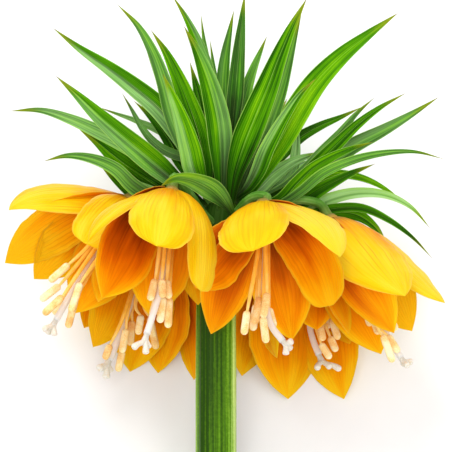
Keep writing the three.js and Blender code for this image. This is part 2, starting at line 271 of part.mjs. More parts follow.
/** Smooth interpolation through a table of [x, y] that never overshoots. */
function table(tab, u) {
  const n = tab.length;
  const h = [], d = [], m = new Array(n).fill(0);
  for (let i = 0; i < n - 1; i++) { h.push(tab[i + 1][0] - tab[i][0]); d.push((tab[i + 1][1] - tab[i][1]) / h[i]); }
  m[0] = d[0]; m[n - 1] = d[n - 2];
  for (let i = 1; i < n - 1; i++) m[i] = d[i - 1] * d[i] <= 0 ? 0 : 2 * d[i - 1] * d[i] / (d[i - 1] + d[i]);
  let i = 0;
  while (i < n - 2 && u >= tab[i + 1][0]) i++;
  const t = (u - tab[i][0]) / h[i], t2 = t * t, t3 = t2 * t;
  return (2 * t3 - 3 * t2 + 1) * tab[i][1] + (t3 - 2 * t2 + t) * h[i] * m[i]
    + (-2 * t3 + 3 * t2) * tab[i + 1][1] + (t3 - t2) * h[i] * m[i + 1];
}

// ---------------------------------------------------------------- closed shells
/** Closes a list of rings (a ring of one point is a tip) into one shell. */
function shell(rings) {
  const verts = [], idx = [], faces = [];
  for (const r of rings) { idx.push(r.map((_, k) => verts.length + k)); verts.push(...r); }
  for (let i = 0; i < idx.length - 1; i++) {
    const a = idx[i], b = idx[i + 1], k = Math.max(a.length, b.length);
    for (let j = 0; j < k; j++) {
      const j2 = (j + 1) % k;
      if (a.length === 1) faces.push([a[0], b[j2], b[j]]);
      else if (b.length === 1) faces.push([a[j], a[j2], b[0]]);
      else faces.push([a[j], a[j2], b[j2]], [a[j], b[j2], b[j]]);
    }
  }
  for (const [ring, flip] of [[idx[0], true], [idx[idx.length - 1], false]]) {
    if (ring.length === 1) continue;
    const c = verts.length, k = ring.length;
    verts.push(ring.reduce((s, i) => s.add(verts[i]), new THREE.Vector3()).divideScalar(k));
    for (let j = 0; j < k; j++) {
      const j2 = (j + 1) % k;
      faces.push(flip ? [c, ring[j2], ring[j]] : [c, ring[j], ring[j2]]);
    }
  }
  return facing(verts, faces);
}

/** An indexed geometry whose faces all point out. */
function facing(verts, faces) {
  let vol = 0;
  for (const [a, b, c] of faces) vol += verts[a].dot(verts[b].clone().cross(verts[c]));
  const g = new THREE.BufferGeometry();
  g.setAttribute('position', new THREE.Float32BufferAttribute(verts.flatMap((v) => [v.x, v.y, v.z]), 3));
  g.setIndex(faces.flatMap(([a, b, c]) => (vol < 0 ? [a, c, b] : [a, b, c])));
  return g;
}

/** Two directions square to a. */
function across(a) {
  const ref = Math.abs(a.z) < 0.9 ? new THREE.Vector3(0, 0, 1) : new THREE.Vector3(1, 0, 0);
  const s = a.clone().cross(ref).normalize();
  return [s, a.clone().cross(s)];
}
function circle(c, s, b, r, n) {
  return Array.from({ length: n }, (_, k) => {
    const t = 2 * Math.PI * k / n;
    return add(add(c, s, r * Math.cos(t)), b, r * Math.sin(t));
  });
}

/** A round rod along points; radii are spread evenly along it. */
function rod(points, radii, n, seg) {
  const ts = Array.from({ length: seg + 1 }, (_, i) => i / seg);
  const { pos, tan } = resample(smooth(points), ts);
  const R = (t) => {
    const x = t * (radii.length - 1), i = Math.min(Math.floor(x), radii.length - 2);
    return radii.length === 1 ? radii[0] : lerp(radii[i], radii[i + 1], x - i);
  };
  let s = across(tan[0])[0];
  return shell(pos.map((p, i) => {
    s = add(s, tan[i], -s.dot(tan[i])).normalize();
    return circle(p, s, tan[i].clone().cross(s), R(ts[i]), n);
  }));
}

/** A turned shape on the axis a from point c: profile of [height, radius]. */
function turned(c, a, profile, n) {
  const [s, b] = across(a);
  return shell(profile.map(([z, r]) => circle(add(c, a, z), s, b, r, n)));
}

/** A flat ring round the axis. */
function ring(c, a, r0, r1, z0, z1, n) {
  const g = new THREE.LatheGeometry([[r0, z0], [r1, z0], [r1, z1], [r0, z1], [r0, z0]]
    .map(([x, y]) => new THREE.Vector2(x, y)), n);
  g.applyQuaternion(new THREE.Quaternion().setFromUnitVectors(new THREE.Vector3(0, 1, 0), a));
  g.translate(c.x, c.y, c.z);
  return g;
}

/** A slim anther from its foot to its tip. */
function anther(foot, tip, r, n) {
  const a = tip.clone().sub(foot).normalize(), [s, b] = across(a);
  return shell([[0, 0.45], [0.22, 1], [0.78, 0.9], [1, 0]].map(([t, q]) => {
    const c = foot.clone().lerp(tip, t);
    return q === 0 ? [c] : circle(c, s, b, q * r, n);
  }));
}

// ---------------------------------------------------------------- leaf
function leafWidth(t, pk, b0) {
  if (t < pk) { const a = t / pk; return b0 + (1 - b0) * a * a * (3 - 2 * a); }
  return 1 - Math.pow((t - pk) / (1 - pk), 1.6);
}
function leaf(half, o, line) {
  const n = LEAF_STEPS;
  const ts = Array.from({ length: n + 1 }, (_, i) => 1 - Math.pow(1 - i / n, 1.15));
  const { pos, tan } = resample(smooth(line.map(V)), ts);
  const fold = rad(o.fold ?? 10), roll = rad(o.roll ?? 0);
  return shell(ts.map((t, i) => {
    if (i === n) return [pos[i]];
    const T = tan[i];
    const s0 = o.flat
      ? add(new THREE.Vector3(1, 0, 0), T, -T.x).normalize()
      : T.clone().cross(new THREE.Vector3(0, 0, 1)).normalize();
    const n0 = s0.clone().cross(T);
    const side = add(s0.clone().multiplyScalar(Math.cos(roll)), n0, Math.sin(roll));
    const face = side.clone().cross(T);
    const w = half * LEAF_FIT * leafWidth(t, o.pk ?? 0.38, o.b0 ?? 0.30);
    const h = LEAF_THICKNESS * (0.55 + 0.45 * Math.min(1, (1 - t) / 0.5)) / 2;
    const rise = w * Math.sin(fold), reach = w * Math.cos(fold);
    return [
      add(add(pos[i], side, reach), face, rise), add(pos[i], face, h),
      add(add(pos[i], side, -reach), face, rise), add(pos[i], face, -h),
    ];
  }));
}

// ---------------------------------------------------------------- petal
const PETAL_WIDTH = [[0, 0.26], [0.08, 0.5], [0.2, 0.76], [0.36, 0.93], [0.52, 1], [0.66, 0.97], [0.78, 0.84], [0.88, 0.61], [0.95, 0.36], [1, 0]];
const BLUNT_WIDTH = [[0, 0.26], [0.08, 0.5], [0.2, 0.74], [0.36, 0.9], [0.52, 0.98], [0.68, 1], [0.8, 0.95], [0.9, 0.78], [0.96, 0.52], [1, 0]];
const ALONG = [0, 0.17, 0.42, 0.72, 1];
const OVER = [-1, -0.55, 0, 0.55, 1];
const CUP = 0.30;

function petal(base, axis, tip, half, o) {
  const out = (v) => add(v, axis, -v.dot(axis)).normalize();
  const u = out(o.u ? V(o.u) : tip.clone().sub(base));
  const p0 = add(add(base, u, 1.6), axis, 0.6);
  const L = tip.distanceTo(p0);
  const p1 = add(add(p0, u, L * 0.34 * Math.cos(rad(18))), axis, L * 0.34 * Math.sin(rad(18)));
  const p2 = add(tip, add(axis, u, 0.05).normalize(), -L * 0.38);
  if (o.m) { p1.add(V(o.m)); p2.add(V(o.m)); }
  const { pos, tan } = resample(new THREE.CubicBezierCurve3(p0, p1, p2, tip).getPoints(63), ALONG);
  const s0 = axis.clone().cross(u);
  const tw = rad(o.tw ?? 0);
  const frame = tan.map((T) => {
    const s = add(s0, T, -s0.dot(T)).normalize();
    return { s, f: s.clone().cross(T) };
  });
  const sign = Math.sign(frame.reduce((q, { f }) => q + f.dot(u), 0)) || 1;
  const grid = ALONG.map((t, i) => {
    const { s } = frame[i], f = frame[i].f.clone().multiplyScalar(sign);
    const side = add(s.clone().multiplyScalar(Math.cos(tw)), f, Math.sin(tw));
    const face = add(f.clone().multiplyScalar(Math.cos(tw)), s, -Math.sin(tw));
    const w = half * PETAL_FIT * table(o.blunt ? BLUNT_WIDTH : PETAL_WIDTH, t);
    const c = CUP * (1 - 0.55 * t), k = 1.25 * Math.min(1, 2 * c + 0.2);
    return OVER.map((v) => ({
      p: add(add(pos[i], side, w * Math.sin(v * k) / Math.sin(k)), face, -w * c * v * v), face,
    }));
  });
  // two skins that meet along both edges and at the tip
  const verts = [], faces = [], top = [], low = [];
  const h = PETAL_THICKNESS / 2, last = ALONG.length - 1, m = OVER.length - 1;
  grid.forEach((row, i) => {
    top.push([]); low.push([]);
    row.forEach(({ p, face }, j) => {
      if (i === last && j > 0) { top[i].push(top[i][0]); low[i].push(top[i][0]); return; }
      if (i === last || j === 0 || j === m) { verts.push(p); top[i].push(verts.length - 1); low[i].push(verts.length - 1); return; }
      verts.push(add(p, face, h)); top[i].push(verts.length - 1);
      verts.push(add(p, face, -h)); low[i].push(verts.length - 1);
    });
  });
  const tri = (a, b, c) => { if (a !== b && b !== c && a !== c) faces.push([a, b, c]); };
  for (let i = 0; i < last; i++) for (let j = 0; j < m; j++) {
    tri(top[i][j], top[i][j + 1], top[i + 1][j + 1]); tri(top[i][j], top[i + 1][j + 1], top[i + 1][j]);
    tri(low[i][j], low[i + 1][j + 1], low[i][j + 1]); tri(low[i][j], low[i + 1][j], low[i + 1][j + 1]);
  }
  for (let j = 0; j < m; j++) {
    tri(top[0][j], low[0][j + 1], top[0][j + 1]); tri(top[0][j], low[0][j], low[0][j + 1]);
  }
  return facing(verts, faces);
}

// ---------------------------------------------------------------- joining
const wasm = await Module();
wasm.setup();
/** Draws together the ends of every edge shorter than least, so that no sliver is left along a join. */
function tidy(pos, tris, least) {
  const P = [], F = [], near = [];
  for (let i = 0; i < pos.length; i += 3) { P.push(new THREE.Vector3(pos[i], pos[i + 1], pos[i + 2])); near.push(new Set()); }
  for (let i = 0; i < tris.length; i += 3) {
    F.push([tris[i], tris[i + 1], tris[i + 2]]);
    for (let k = 0; k < 3; k++) near[tris[i + k]].add(F.length - 1);
  }
  const around = (v) => new Set([...near[v]].flatMap((f) => F[f]).filter((w) => w !== v));
  const normal = ([a, b, c]) => P[b].clone().sub(P[a]).cross(P[c].clone().sub(P[a]));
  const pull = (a, b) => {
    const ring = around(a), both = [...around(b)].filter((w) => ring.has(w));
    if (both.length !== 2) return false;
    const moved = [...near[b]].filter((f) => !F[f].includes(a));
    for (const f of moved) {
      const was = normal(F[f]), now = normal(F[f].map((w) => (w === b ? a : w)));
      if (now.length() < 1e-4 || (was.length() > 1e-3 && was.dot(now) < 0.2 * was.length() * now.length())) return false;
    }
    for (const f of [...near[b]].filter((q) => F[q].includes(a))) { for (const w of F[f]) near[w].delete(f); F[f] = null; }
    for (const f of moved) { F[f] = F[f].map((w) => (w === b ? a : w)); near[a].add(f); }
    near[b].clear();
    return true;
  };
  for (let again = true; again;) {
    again = false;
    for (let a = 0; a < P.length; a++) for (const b of around(a)) {
      if (P[a].distanceTo(P[b]) < least && (pull(a, b) || pull(b, a))) { again = true; break; }
    }
  }
  const g = new THREE.BufferGeometry(), index = new Map(), out = [], idx = [];
  for (const f of F) if (f) for (const w of f) {
    if (!index.has(w)) { index.set(w, index.size); out.push(P[w].x, P[w].y, P[w].z); }
    idx.push(index.get(w));
  }
  g.setAttribute('position', new THREE.Float32BufferAttribute(out, 3));
  g.setIndex(idx);
  return g;
}

/** Joins shells that grow together into one closed solid. */
function join(parts) {
  let all = null;
  for (const part of parts) {
    const g = part.clone();
    for (const k of Object.keys(g.attributes)) if (k !== 'position') g.deleteAttribute(k);
    const w = mergeVertices(g, 1e-4);
    const solid = new wasm.Manifold(new wasm.Mesh({
      numProp: 3, vertProperties: new Float32Array(w.attributes.position.array), triVerts: new Uint32Array(w.index.array),
    }));
    all = all ? all.add(solid) : solid;
  }
  // keep the outer body only
  const body = all.decompose().sort((a, b) => b.volume() - a.volume())[0].getMesh();
  return tidy(body.vertProperties, body.triVerts, SHORTEST_EDGE);
}

// ---------------------------------------------------------------- the flower
const plant = new THREE.Group();
const finish = (color, roughness) => new THREE.MeshStandardMaterial({ color, roughness, metalness: 0 });
function piece(name, geometry, color, roughness) {
  geometry.computeVertexNormals();
  const mesh = new THREE.Mesh(geometry, finish(color, roughness));
  mesh.name = name;
  plant.add(mesh);
}

{
  const pos = STEM.map(([p]) => V(p)), last = pos.length - 1;
  let s = new THREE.Vector3(1, 0, 0);
  piece('stem', shell(pos.map((p, i) => {
    const t = pos[Math.min(i + 1, last)].clone().sub(pos[Math.max(i - 1, 0)]).normalize();
    s = add(s, t, -s.dot(t)).normalize();
    return circle(p, s, t.clone().cross(s), STEM[i][1], STEM_SIDES);
  })), 0x4f7a24, 0.6);
}

for (const [name, half, shape, line] of LEAVES) piece(name, leaf(half, shape, line), 0x3f8f24, 0.45);
piece('inner_leaf_tuft', join([
  rod([V(BUD[0]), V(BUD[0]).lerp(V(BUD[1]), 0.5), V(BUD[1])], [1.5, 2.2, 0.7], 8, 3),
  ...TUFT.map(([, half, shape, line]) => leaf(half, shape, line)),
  // the foot of each blade that leaves the tuft sideways
  ...TUFT.filter(([name]) => SIDE_BLADES.includes(name)).map(([, , , line]) => rod([
    V(BUD[0]).lerp(V(BUD[1]), 0.1), V(line[0]), V(line[0]).lerp(V(line[1]), 0.3),
  ], [0.9, 0.8, 0.7], 6, 2)),
]), 0x377f26, 0.45);

for (const f of FLOWERS) {
  const base = V(f.base), axis = V(f.axis).normalize(), z = f.ring;
  piece(`flower_${f.n}_stalk`, rod(f.stalk.map(V), [STALK_RADIUS], 7, 7), 0x5f8f35, 0.5);
  piece(`flower_${f.n}_petals`, join([
    turned(base, axis, [[-1, 1.9], [-0.2, 2.6], [0.9, 3.3], [1.7, 2.6]], 8),
    ...f.tepals.map(([tip, half, o]) => petal(base, axis, V(tip), half, o)),
  ]), 0xf6a81a, 0.5);
  piece(`flower_${f.n}_stamens`, join([
    ring(base, axis, 2.15, 3.35, z, z + 0.9, 8),
    ...f.stamens.flatMap(([a, b, c, d]) => [
      rod([V(a), V(b), V(c).lerp(V(d), 0.12)], [FILAMENT_RADIUS], 4, 3),
      anther(V(c), V(d), ANTHER_RADIUS, 5),
    ]),
  ]), 0xf3d9a4, 0.6);
  const end = V(f.style[f.style.length - 1]);
  piece(`flower_${f.n}_pistil`, join([
    turned(base, axis, [[z - 0.35, 0.9], [z - 0.1, 1.5], [z + 2.4, 1.75], [z + 5.2, 0.8]], 6),
    rod([add(base, axis, z + 4.2), ...f.style.slice(1).map(V)], [STYLE_RADIUS], 5, 5),
    ...f.stigma.map((p) => {
      const q = V(p);
      return rod([add(end, q.clone().sub(end).normalize(), -0.5), q], [0.7, 1.3], 4, 1);
    }),
  ]), 0xf6f1df, 0.5);
}

// lay the flower down and put its footprint's centre on the origin
const model = new THREE.Group();
model.name = 'crown_imperial';
plant.rotation.x = rad(LIE_ANGLE);
model.add(plant);
model.updateMatrixWorld(true);
const box = new THREE.Box3().setFromObject(model, true);
plant.position.set(-(box.min.x + box.max.x) / 2, -(box.min.y + box.max.y) / 2, -box.min.z);
model.updateMatrixWorld(true);

export default model;
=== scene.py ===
"""Yellow crown imperial, cut and laid on a surface: the looks of every piece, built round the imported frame."""
import math

import bpy
import numpy as np
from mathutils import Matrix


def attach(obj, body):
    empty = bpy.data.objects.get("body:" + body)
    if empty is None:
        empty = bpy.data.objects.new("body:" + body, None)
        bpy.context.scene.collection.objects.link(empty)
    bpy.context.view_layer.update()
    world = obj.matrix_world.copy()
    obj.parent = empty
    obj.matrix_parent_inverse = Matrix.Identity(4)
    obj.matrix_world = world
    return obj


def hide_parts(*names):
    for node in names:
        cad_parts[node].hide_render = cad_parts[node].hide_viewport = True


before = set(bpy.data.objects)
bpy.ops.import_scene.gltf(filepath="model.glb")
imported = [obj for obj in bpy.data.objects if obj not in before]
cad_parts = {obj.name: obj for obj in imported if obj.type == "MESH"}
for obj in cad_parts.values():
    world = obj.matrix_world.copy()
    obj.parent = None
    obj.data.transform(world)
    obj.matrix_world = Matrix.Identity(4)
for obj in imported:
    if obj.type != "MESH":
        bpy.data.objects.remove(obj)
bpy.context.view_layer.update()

# ------------------------------------------------------------------ the plant's own frame
# Millimetres: X right, Y along the stem to the crown, Z away from the surface.
LIE = math.radians(22)
SHIFT = np.array([0.55, 32.03929, 43.90471])

# stem: (centre, radius) from the cut end up
STEM = [
  ([-3.79, -147.26, 20.31], 7.79),
  ([-3.81, -117.32, 15.96], 7.79),
  ([-3.83, -84.83, 11.63], 7.75),
  ([-3.84, -58.02, 8.09], 7.75),
  ([-3.78, -30.26, 4.48], 7.68),
  ([-3.41, -9.1, 1.71], 7.45),
  ([-1.9, 5.32, -0.19], 6.46),
  ([-0.19, 16.75, -1.52], 3.8),
  ([0.38, 25.9, -2.28], 1.71),
]

# Each leaf's tone sets how deep its green is: partly the leaf's own colour, partly painted shade on leaves lying
# deeper among the others. blue sets its waxy bloom, which is partly painted sheen.
LEAVES = [
    ("leaf_front_01", 4.94, {"fold": 16, "roll": -8, "pk": 0.42, "tone": 0.62, "blue": 1.3}, [(-1.89, 8.31, 6.08), (-1.8, 18.15, 8.55), (-2.07, 27.87, 11.45), (-2.8, 37.44, 14.72), (-4.65, 46.92, 17.83), (-7.43, 56.19, 20.86), (-11.07, 65.2, 23.79), (-15.51, 73.87, 26.6)]),
    ("leaf_front_02", 5.51, {"fold": 16, "roll": 8, "pk": 0.36, "tone": 0.52}, [(1.51, 8.3, 6.84), (3.4, 19.6, 10.85), (6.79, 30.31, 15.43), (11, 40.84, 19.76), (15.44, 51.5, 23.5), (19.64, 62.37, 26.93), (24.26, 73.11, 30.17), (29.72, 83.66, 32.68)]),
    ("leaf_front_08", 3.42, {"fold": 10, "tone": 0.45, "blue": 0.25}, [(4.03, 10.43, 2.46), (8.02, 20.15, 5.45), (12.1, 29.77, 8.84), (16.07, 39.46, 11.66), (19.71, 49.37, 14.09), (22.66, 59.61, 16.33), (25.43, 69.97, 18.2), (28.28, 80.37, 19.76)]),
    ("leaf_front_07", 5.32, {"fold": 18, "roll": 0, "pk": 0.4, "tone": 0.68}, [(6.45, 8.73, 1.51), (13.14, 19.75, 5.43), (19.77, 31.05, 8.62), (26.23, 42.7, 11.31), (33.73, 53.85, 12.68), (43.14, 63.56, 13.06), (53.69, 72.01, 12.52), (64.58, 79.97, 11.4)]),
    ("leaf_front_03", 3.23, {"fold": 22, "roll": 10, "tone": 0.55, "blue": -0.45}, [(4.91, 11.34, 5.32), (8.7, 14.86, 11.81), (12.18, 20.7, 16.34), (15.18, 28.07, 18.69), (18.86, 35.21, 20.79), (22.99, 42.22, 22.4), (27.65, 49.01, 23.46), (33.51, 54.8, 24.32)]),
    ("leaf_front_05", 4.29, {"fold": 10, "tone": 0.48}, [(-6.82, 9.85, 3.09), (-7.62, 19.46, 5.42), (-9.07, 28.98, 7.71), (-11.42, 38.32, 9.19), (-14.71, 47.43, 10.68), (-18.39, 56.44, 12.08), (-22.64, 65.24, 13.1), (-28.09, 73.41, 13.68)]),
    ("leaf_front_06", 3.42, {"fold": 10, "tone": 0.36}, [(-4.77, 12.17, 3.17), (-5.28, 19.25, 4.31), (-6.14, 26.34, 5.23), (-7.4, 33.4, 6.6), (-8.67, 40.48, 8.06), (-10.03, 47.58, 9.05), (-11.73, 54.63, 9.54), (-13.54, 61.67, 9.88)]),
    ("leaf_front_10", 3.5, {"fold": 12, "tone": 0.62, "blue": 0.3}, [(-7.21, 10.62, 2.02), (-11.83, 21.42, 2.28), (-16.32, 32.29, 2.34), (-20.49, 43.29, 2.28), (-23.61, 54.62, 2.24), (-27.63, 65.67, 1.79), (-33.38, 75.86, 0.98), (-41.42, 84.36, 0)]),
    ("leaf_front_04", 4.67, {"fold": 20, "roll": -14, "pk": 0.36, "tone": 0.78, "blue": -0.6}, [(-6.8, 10.57, 6.08), (-9.71, 16.07, 10.18), (-12.21, 22.04, 13.83), (-13.75, 28.87, 16.39), (-15.62, 35.77, 18.48), (-17.89, 42.69, 20.04), (-20.57, 49.57, 21.06), (-23.39, 56.44, 21.66)]),
    ("leaf_left_01", 4.48, {"fold": 18, "tone": 0.6, "blue": -0.7}, [(-7.23, 10.27, 0.82), (-11.47, 22.52, -0.89), (-17.03, 34.21, -1.8), (-24.97, 44.43, -2.56), (-34.78, 52.86, -3.41), (-45.17, 60.6, -4.27), (-55.91, 67.81, -5.2), (-66.16, 75.72, -6.08)]),
    ("leaf_left_02", 5.02, {"fold": 24, "roll": 10, "tone": 0.56, "blue": -0.35}, [(-9.08, 8.7, 4.56), (-16.63, 15.21, 8.05), (-24.26, 21.74, 11.31), (-32.13, 28.34, 13.76), (-40.2, 34.99, 15.18), (-48.18, 41.9, 15.24), (-55.83, 49.16, 14.55), (-63.67, 56.18, 13.68)]),
    ("leaf_left_03", 3.34, {"fold": 14, "tone": 0.55, "blue": 0.55}, [(-8.73, 8.73, 1.81), (-17.81, 16.51, 3.21), (-27.21, 23.93, 4.16), (-37.45, 30.21, 4.54), (-48.19, 35.64, 4.59), (-59.08, 40.51, 3.11), (-70.44, 43.91, 1.11), (-82.18, 43.75, -1.14)]),
    ("leaf_left_04", 5.32, {"fold": 10, "tone": 0.5}, [(-8.73, 6.83, -2.21), (-16.05, 10.04, -8.62), (-23.32, 13.36, -12.17), (-30.08, 17.61, -4.57), (-36.71, 22.13, 1.98), (-43.04, 27.04, 3.36), (-49.18, 32.16, 2.89), (-55.73, 36.77, 2.28)]),
    ("leaf_left_05", 3.12, {"fold": 16, "tone": 0.55, "blue": 0.25}, [(-9.45, 5.67, 5.32), (-18.36, 7.95, 7.41), (-27.21, 10.42, 9.53), (-34.9, 15.11, 11.92), (-41.55, 21.49, 13.79), (-50.14, 25.2, 13.82), (-59.4, 26.34, 12.52), (-68.39, 24.42, 10.64)]),
    ("leaf_left_06", 3.99, {"fold": 12, "tone": 0.42}, [(-9.48, 4.93, -0.86), (-15.6, 6.22, -5.74), (-21.72, 7.5, -9.99), (-27.79, 9.02, -8.79), (-33.45, 11.59, -3.41), (-38.62, 15.14, 2.4), (-43.44, 19.22, 6.13), (-47.87, 23.75, 7.34)]),
    ("leaf_left_07", 3.04, {"fold": 10, "tone": 0.25}, [(-6.86, 11.44, -3.06), (-10.93, 16.66, -4.75), (-14.97, 21.91, -6.64), (-18.7, 27.4, -8.36), (-22.01, 33.18, -9.45), (-25.94, 38.61, -10.23), (-30.47, 43.56, -11.13), (-35.41, 48.11, -12.16)]),
    ("leaf_front_09", 3.42, {"fold": 6, "roll": 30, "pk": 0.45, "tone": 0.7, "blue": 0.2, "w": 1.3}, [(2.26, 4.89, 13), (0.24, 7.87, 16.98), (-2.18, 10.79, 20.1), (-5.38, 13.56, 22.64), (-9.3, 15.75, 25.33), (-13.96, 17.35, 27.82), (-19.1, 17.49, 29.93), (-23.9, 14.71, 30.78)]),
    ("leaf_right_01", 2.74, {"fold": 10, "tone": 0.38}, [(4.57, 9.91, -3.18), (10.28, 16.27, -5.06), (16.08, 22.57, -7.08), (22.2, 28.64, -9.06), (28.74, 34.32, -9.93), (36.35, 38.52, -10.06), (44.38, 41.96, -10.28), (52.26, 45.73, -10.64)]),
    ("leaf_right_02", 2.81, {"fold": 8, "tone": 0.6, "blue": 0.4}, [(6.09, 7.23, -1.52), (14.86, 10.81, -2.29), (23.49, 14.72, -2.98), (30.54, 20.97, -3.09), (36.81, 28.11, -3.07), (43.25, 35.09, -2.79), (49.3, 42.39, -2.32), (56.35, 48.74, -1.9)]),
    ("leaf_right_03", 2.96, {"fold": 16, "tone": 0.54}, [(6.46, 6.84, -0.3), (16.84, 10.52, 0.26), (26.71, 15.27, 0.93), (34.26, 23.24, 1.67), (42.09, 31, 1.94), (50.04, 38.61, 1.74), (58.83, 45.17, 0.96), (68.4, 50.54, 0)]),
    ("leaf_right_04", 3.88, {"fold": 14, "tone": 0.45, "blue": 0.35}, [(6.1, 5.34, -3.04), (17.48, 10.31, -5.09), (28.34, 16.45, -6.55), (38.37, 24.04, -6.9), (48.93, 30.89, -6.83), (60.12, 36.64, -6.97), (71.05, 42.81, -7.74), (81.68, 49.47, -8.74)]),
    ("leaf_right_05", 2.89, {"fold": 14, "tone": 0.6}, [(5.68, 4.92, 3.92), (13.63, 7.03, 5.46), (21.23, 10, 6.17), (26.86, 15.93, 7.13), (32.84, 21.66, 7.71), (39.9, 26.02, 7.96), (47.52, 29.31, 7.54), (55.46, 31.69, 6.84)]),
    ("leaf_right_06", 1.98, {"fold": 12, "tone": 0.55, "blue": 0.2}, [(6.05, 4.16, 5.32), (17.4, 6.94, 7.87), (27.25, 12.52, 10.78), (36.49, 19.88, 12.13), (47.42, 24.69, 12.12), (59.01, 27.38, 11.07), (70.82, 27.93, 9.44), (82.21, 25.27, 7.22)]),
    ("leaf_right_07", 3.42, {"fold": 14, "tone": 0.34}, [(6.07, 3.79, -0.91), (13.79, 4.93, -5.15), (21.47, 6.27, -6.65), (28.61, 9.31, -1.77), (35.16, 13.55, 2.67), (42.03, 17.29, 4.05), (49.09, 20.66, 4.12), (56.39, 23.47, 3.8)]),
    ("leaf_right_08", 2.2, {"fold": 8, "tone": 0.78, "blue": 0}, [(5.73, 5.35, -4.56), (14.69, 9.42, -7.18), (23.71, 13.45, -9.67), (32.91, 17.45, -11.46), (42.66, 19.93, -12.62), (52.66, 18.4, -13.15), (61.83, 14.02, -13.6), (69.8, 7.71, -14.06)]),
    ("leaf_right_09", 2.58, {"fold": 14, "tone": 0.85, "blue": 1}, [(6.46, 3.04, -2.34), (17.59, 3.85, -8.45), (28.65, 5.24, -5.34), (38.72, 10.03, -1.85), (49.53, 12.64, -2.33), (60.59, 11.98, -3.53), (70.53, 7.3, -5.21), (78.08, -0.77, -6.84)]),
    ("leaf_right_10", 1.98, {"fold": 12, "tone": 0.34, "blue": 0}, [(6.81, 2.27, 3.8), (18.09, 2.74, 3.72), (29.33, 3.6, 2.24), (40.17, 6.58, 0.81), (51.38, 6.85, 2.18), (61.58, 2.42, 1.33), (70.64, -4.14, 0.01), (78.41, -12.18, -1.52)]),
    ("leaf_right_11", 3.99, {"fold": 8, "tone": 0.5}, [(6.12, 1.91, -6.65), (14.95, 2.3, -8.69), (23.79, 2.71, -9.14), (32.58, 3.71, -8.15), (41.26, 5.41, -7.63), (50, 4.39, -7.58), (57.22, -0.6, -7.19), (62, -8.04, -6.84)]),
    ("leaf_right_12", 2.28, {"fold": 8, "pk": 0.6, "tone": 0.5, "blue": 0.8}, [(4.59, 10.7, -5.07), (10.49, 12.03, -7.04), (16.38, 13.62, -8.93), (21.93, 16.6, -9.39), (25.41, 21.74, -8.9), (26.69, 27.93, -8.13), (27.18, 34.26, -7.66), (27.58, 40.6, -7.46)]),
    ("leaf_right_13", 3.04, {"fold": 8, "tone": 0.5, "blue": 0.7}, [(4.58, 7.64, -3.42), (8.99, 11.1, -3.85), (13.28, 14.72, -4.7), (17.28, 18.66, -5.33), (21.7, 22.05, -5.75), (26.46, 24.92, -6.41), (31.6, 26.88, -7.78), (36.86, 28.41, -9.47)]),
    ("leaf_back_01", 3.42, {"fold": 12, "flat": 1, "tone": 0.45, "blue": 0.2}, [(-5.35, 11.46, -5.32), (-8.7, 17.81, -13.77), (-12.24, 24.07, -22.2), (-16.02, 30.22, -30.61), (-19.9, 36.25, -39.39), (-23.83, 42.13, -48.77), (-27.5, 47.61, -58.83), (-31.68, 52.8, -68.68)]),
    ("leaf_back_02", 3.42, {"fold": 12, "flat": 1, "tone": 0.5}, [(3.15, 12.39, -4.81), (6.32, 18.39, -13.23), (9.57, 24.35, -21.64), (12.98, 30.27, -30.03), (16.13, 35.92, -38.94), (19.01, 41.31, -48.47), (21.93, 46.55, -58.33), (24.78, 51.6, -68.2)]),
    ("leaf_back_03", 3.42, {"fold": 12, "flat": 1, "tone": 0.4, "blue": 0.3}, [(5.34, 9.16, -5.12), (10.5, 12.73, -12.45), (15.77, 16.12, -19.43), (21.26, 19.16, -26.68), (26.78, 22.07, -34.48), (32.31, 24.89, -42.79), (37.88, 27.73, -51.35), (43.5, 30.61, -59.72)]),
    ("leaf_back_04", 3.42, {"fold": 12, "flat": 1, "tone": 0.5, "blue": 0.1}, [(-7.62, 7.62, -3.04), (-13.07, 12.21, -11.06), (-18.66, 16.79, -18.99), (-24.48, 21.34, -26.76), (-30.2, 25.91, -35), (-35.75, 30.52, -43.95), (-40.9, 35.07, -53.6), (-45.62, 39.56, -63.33)]),
]

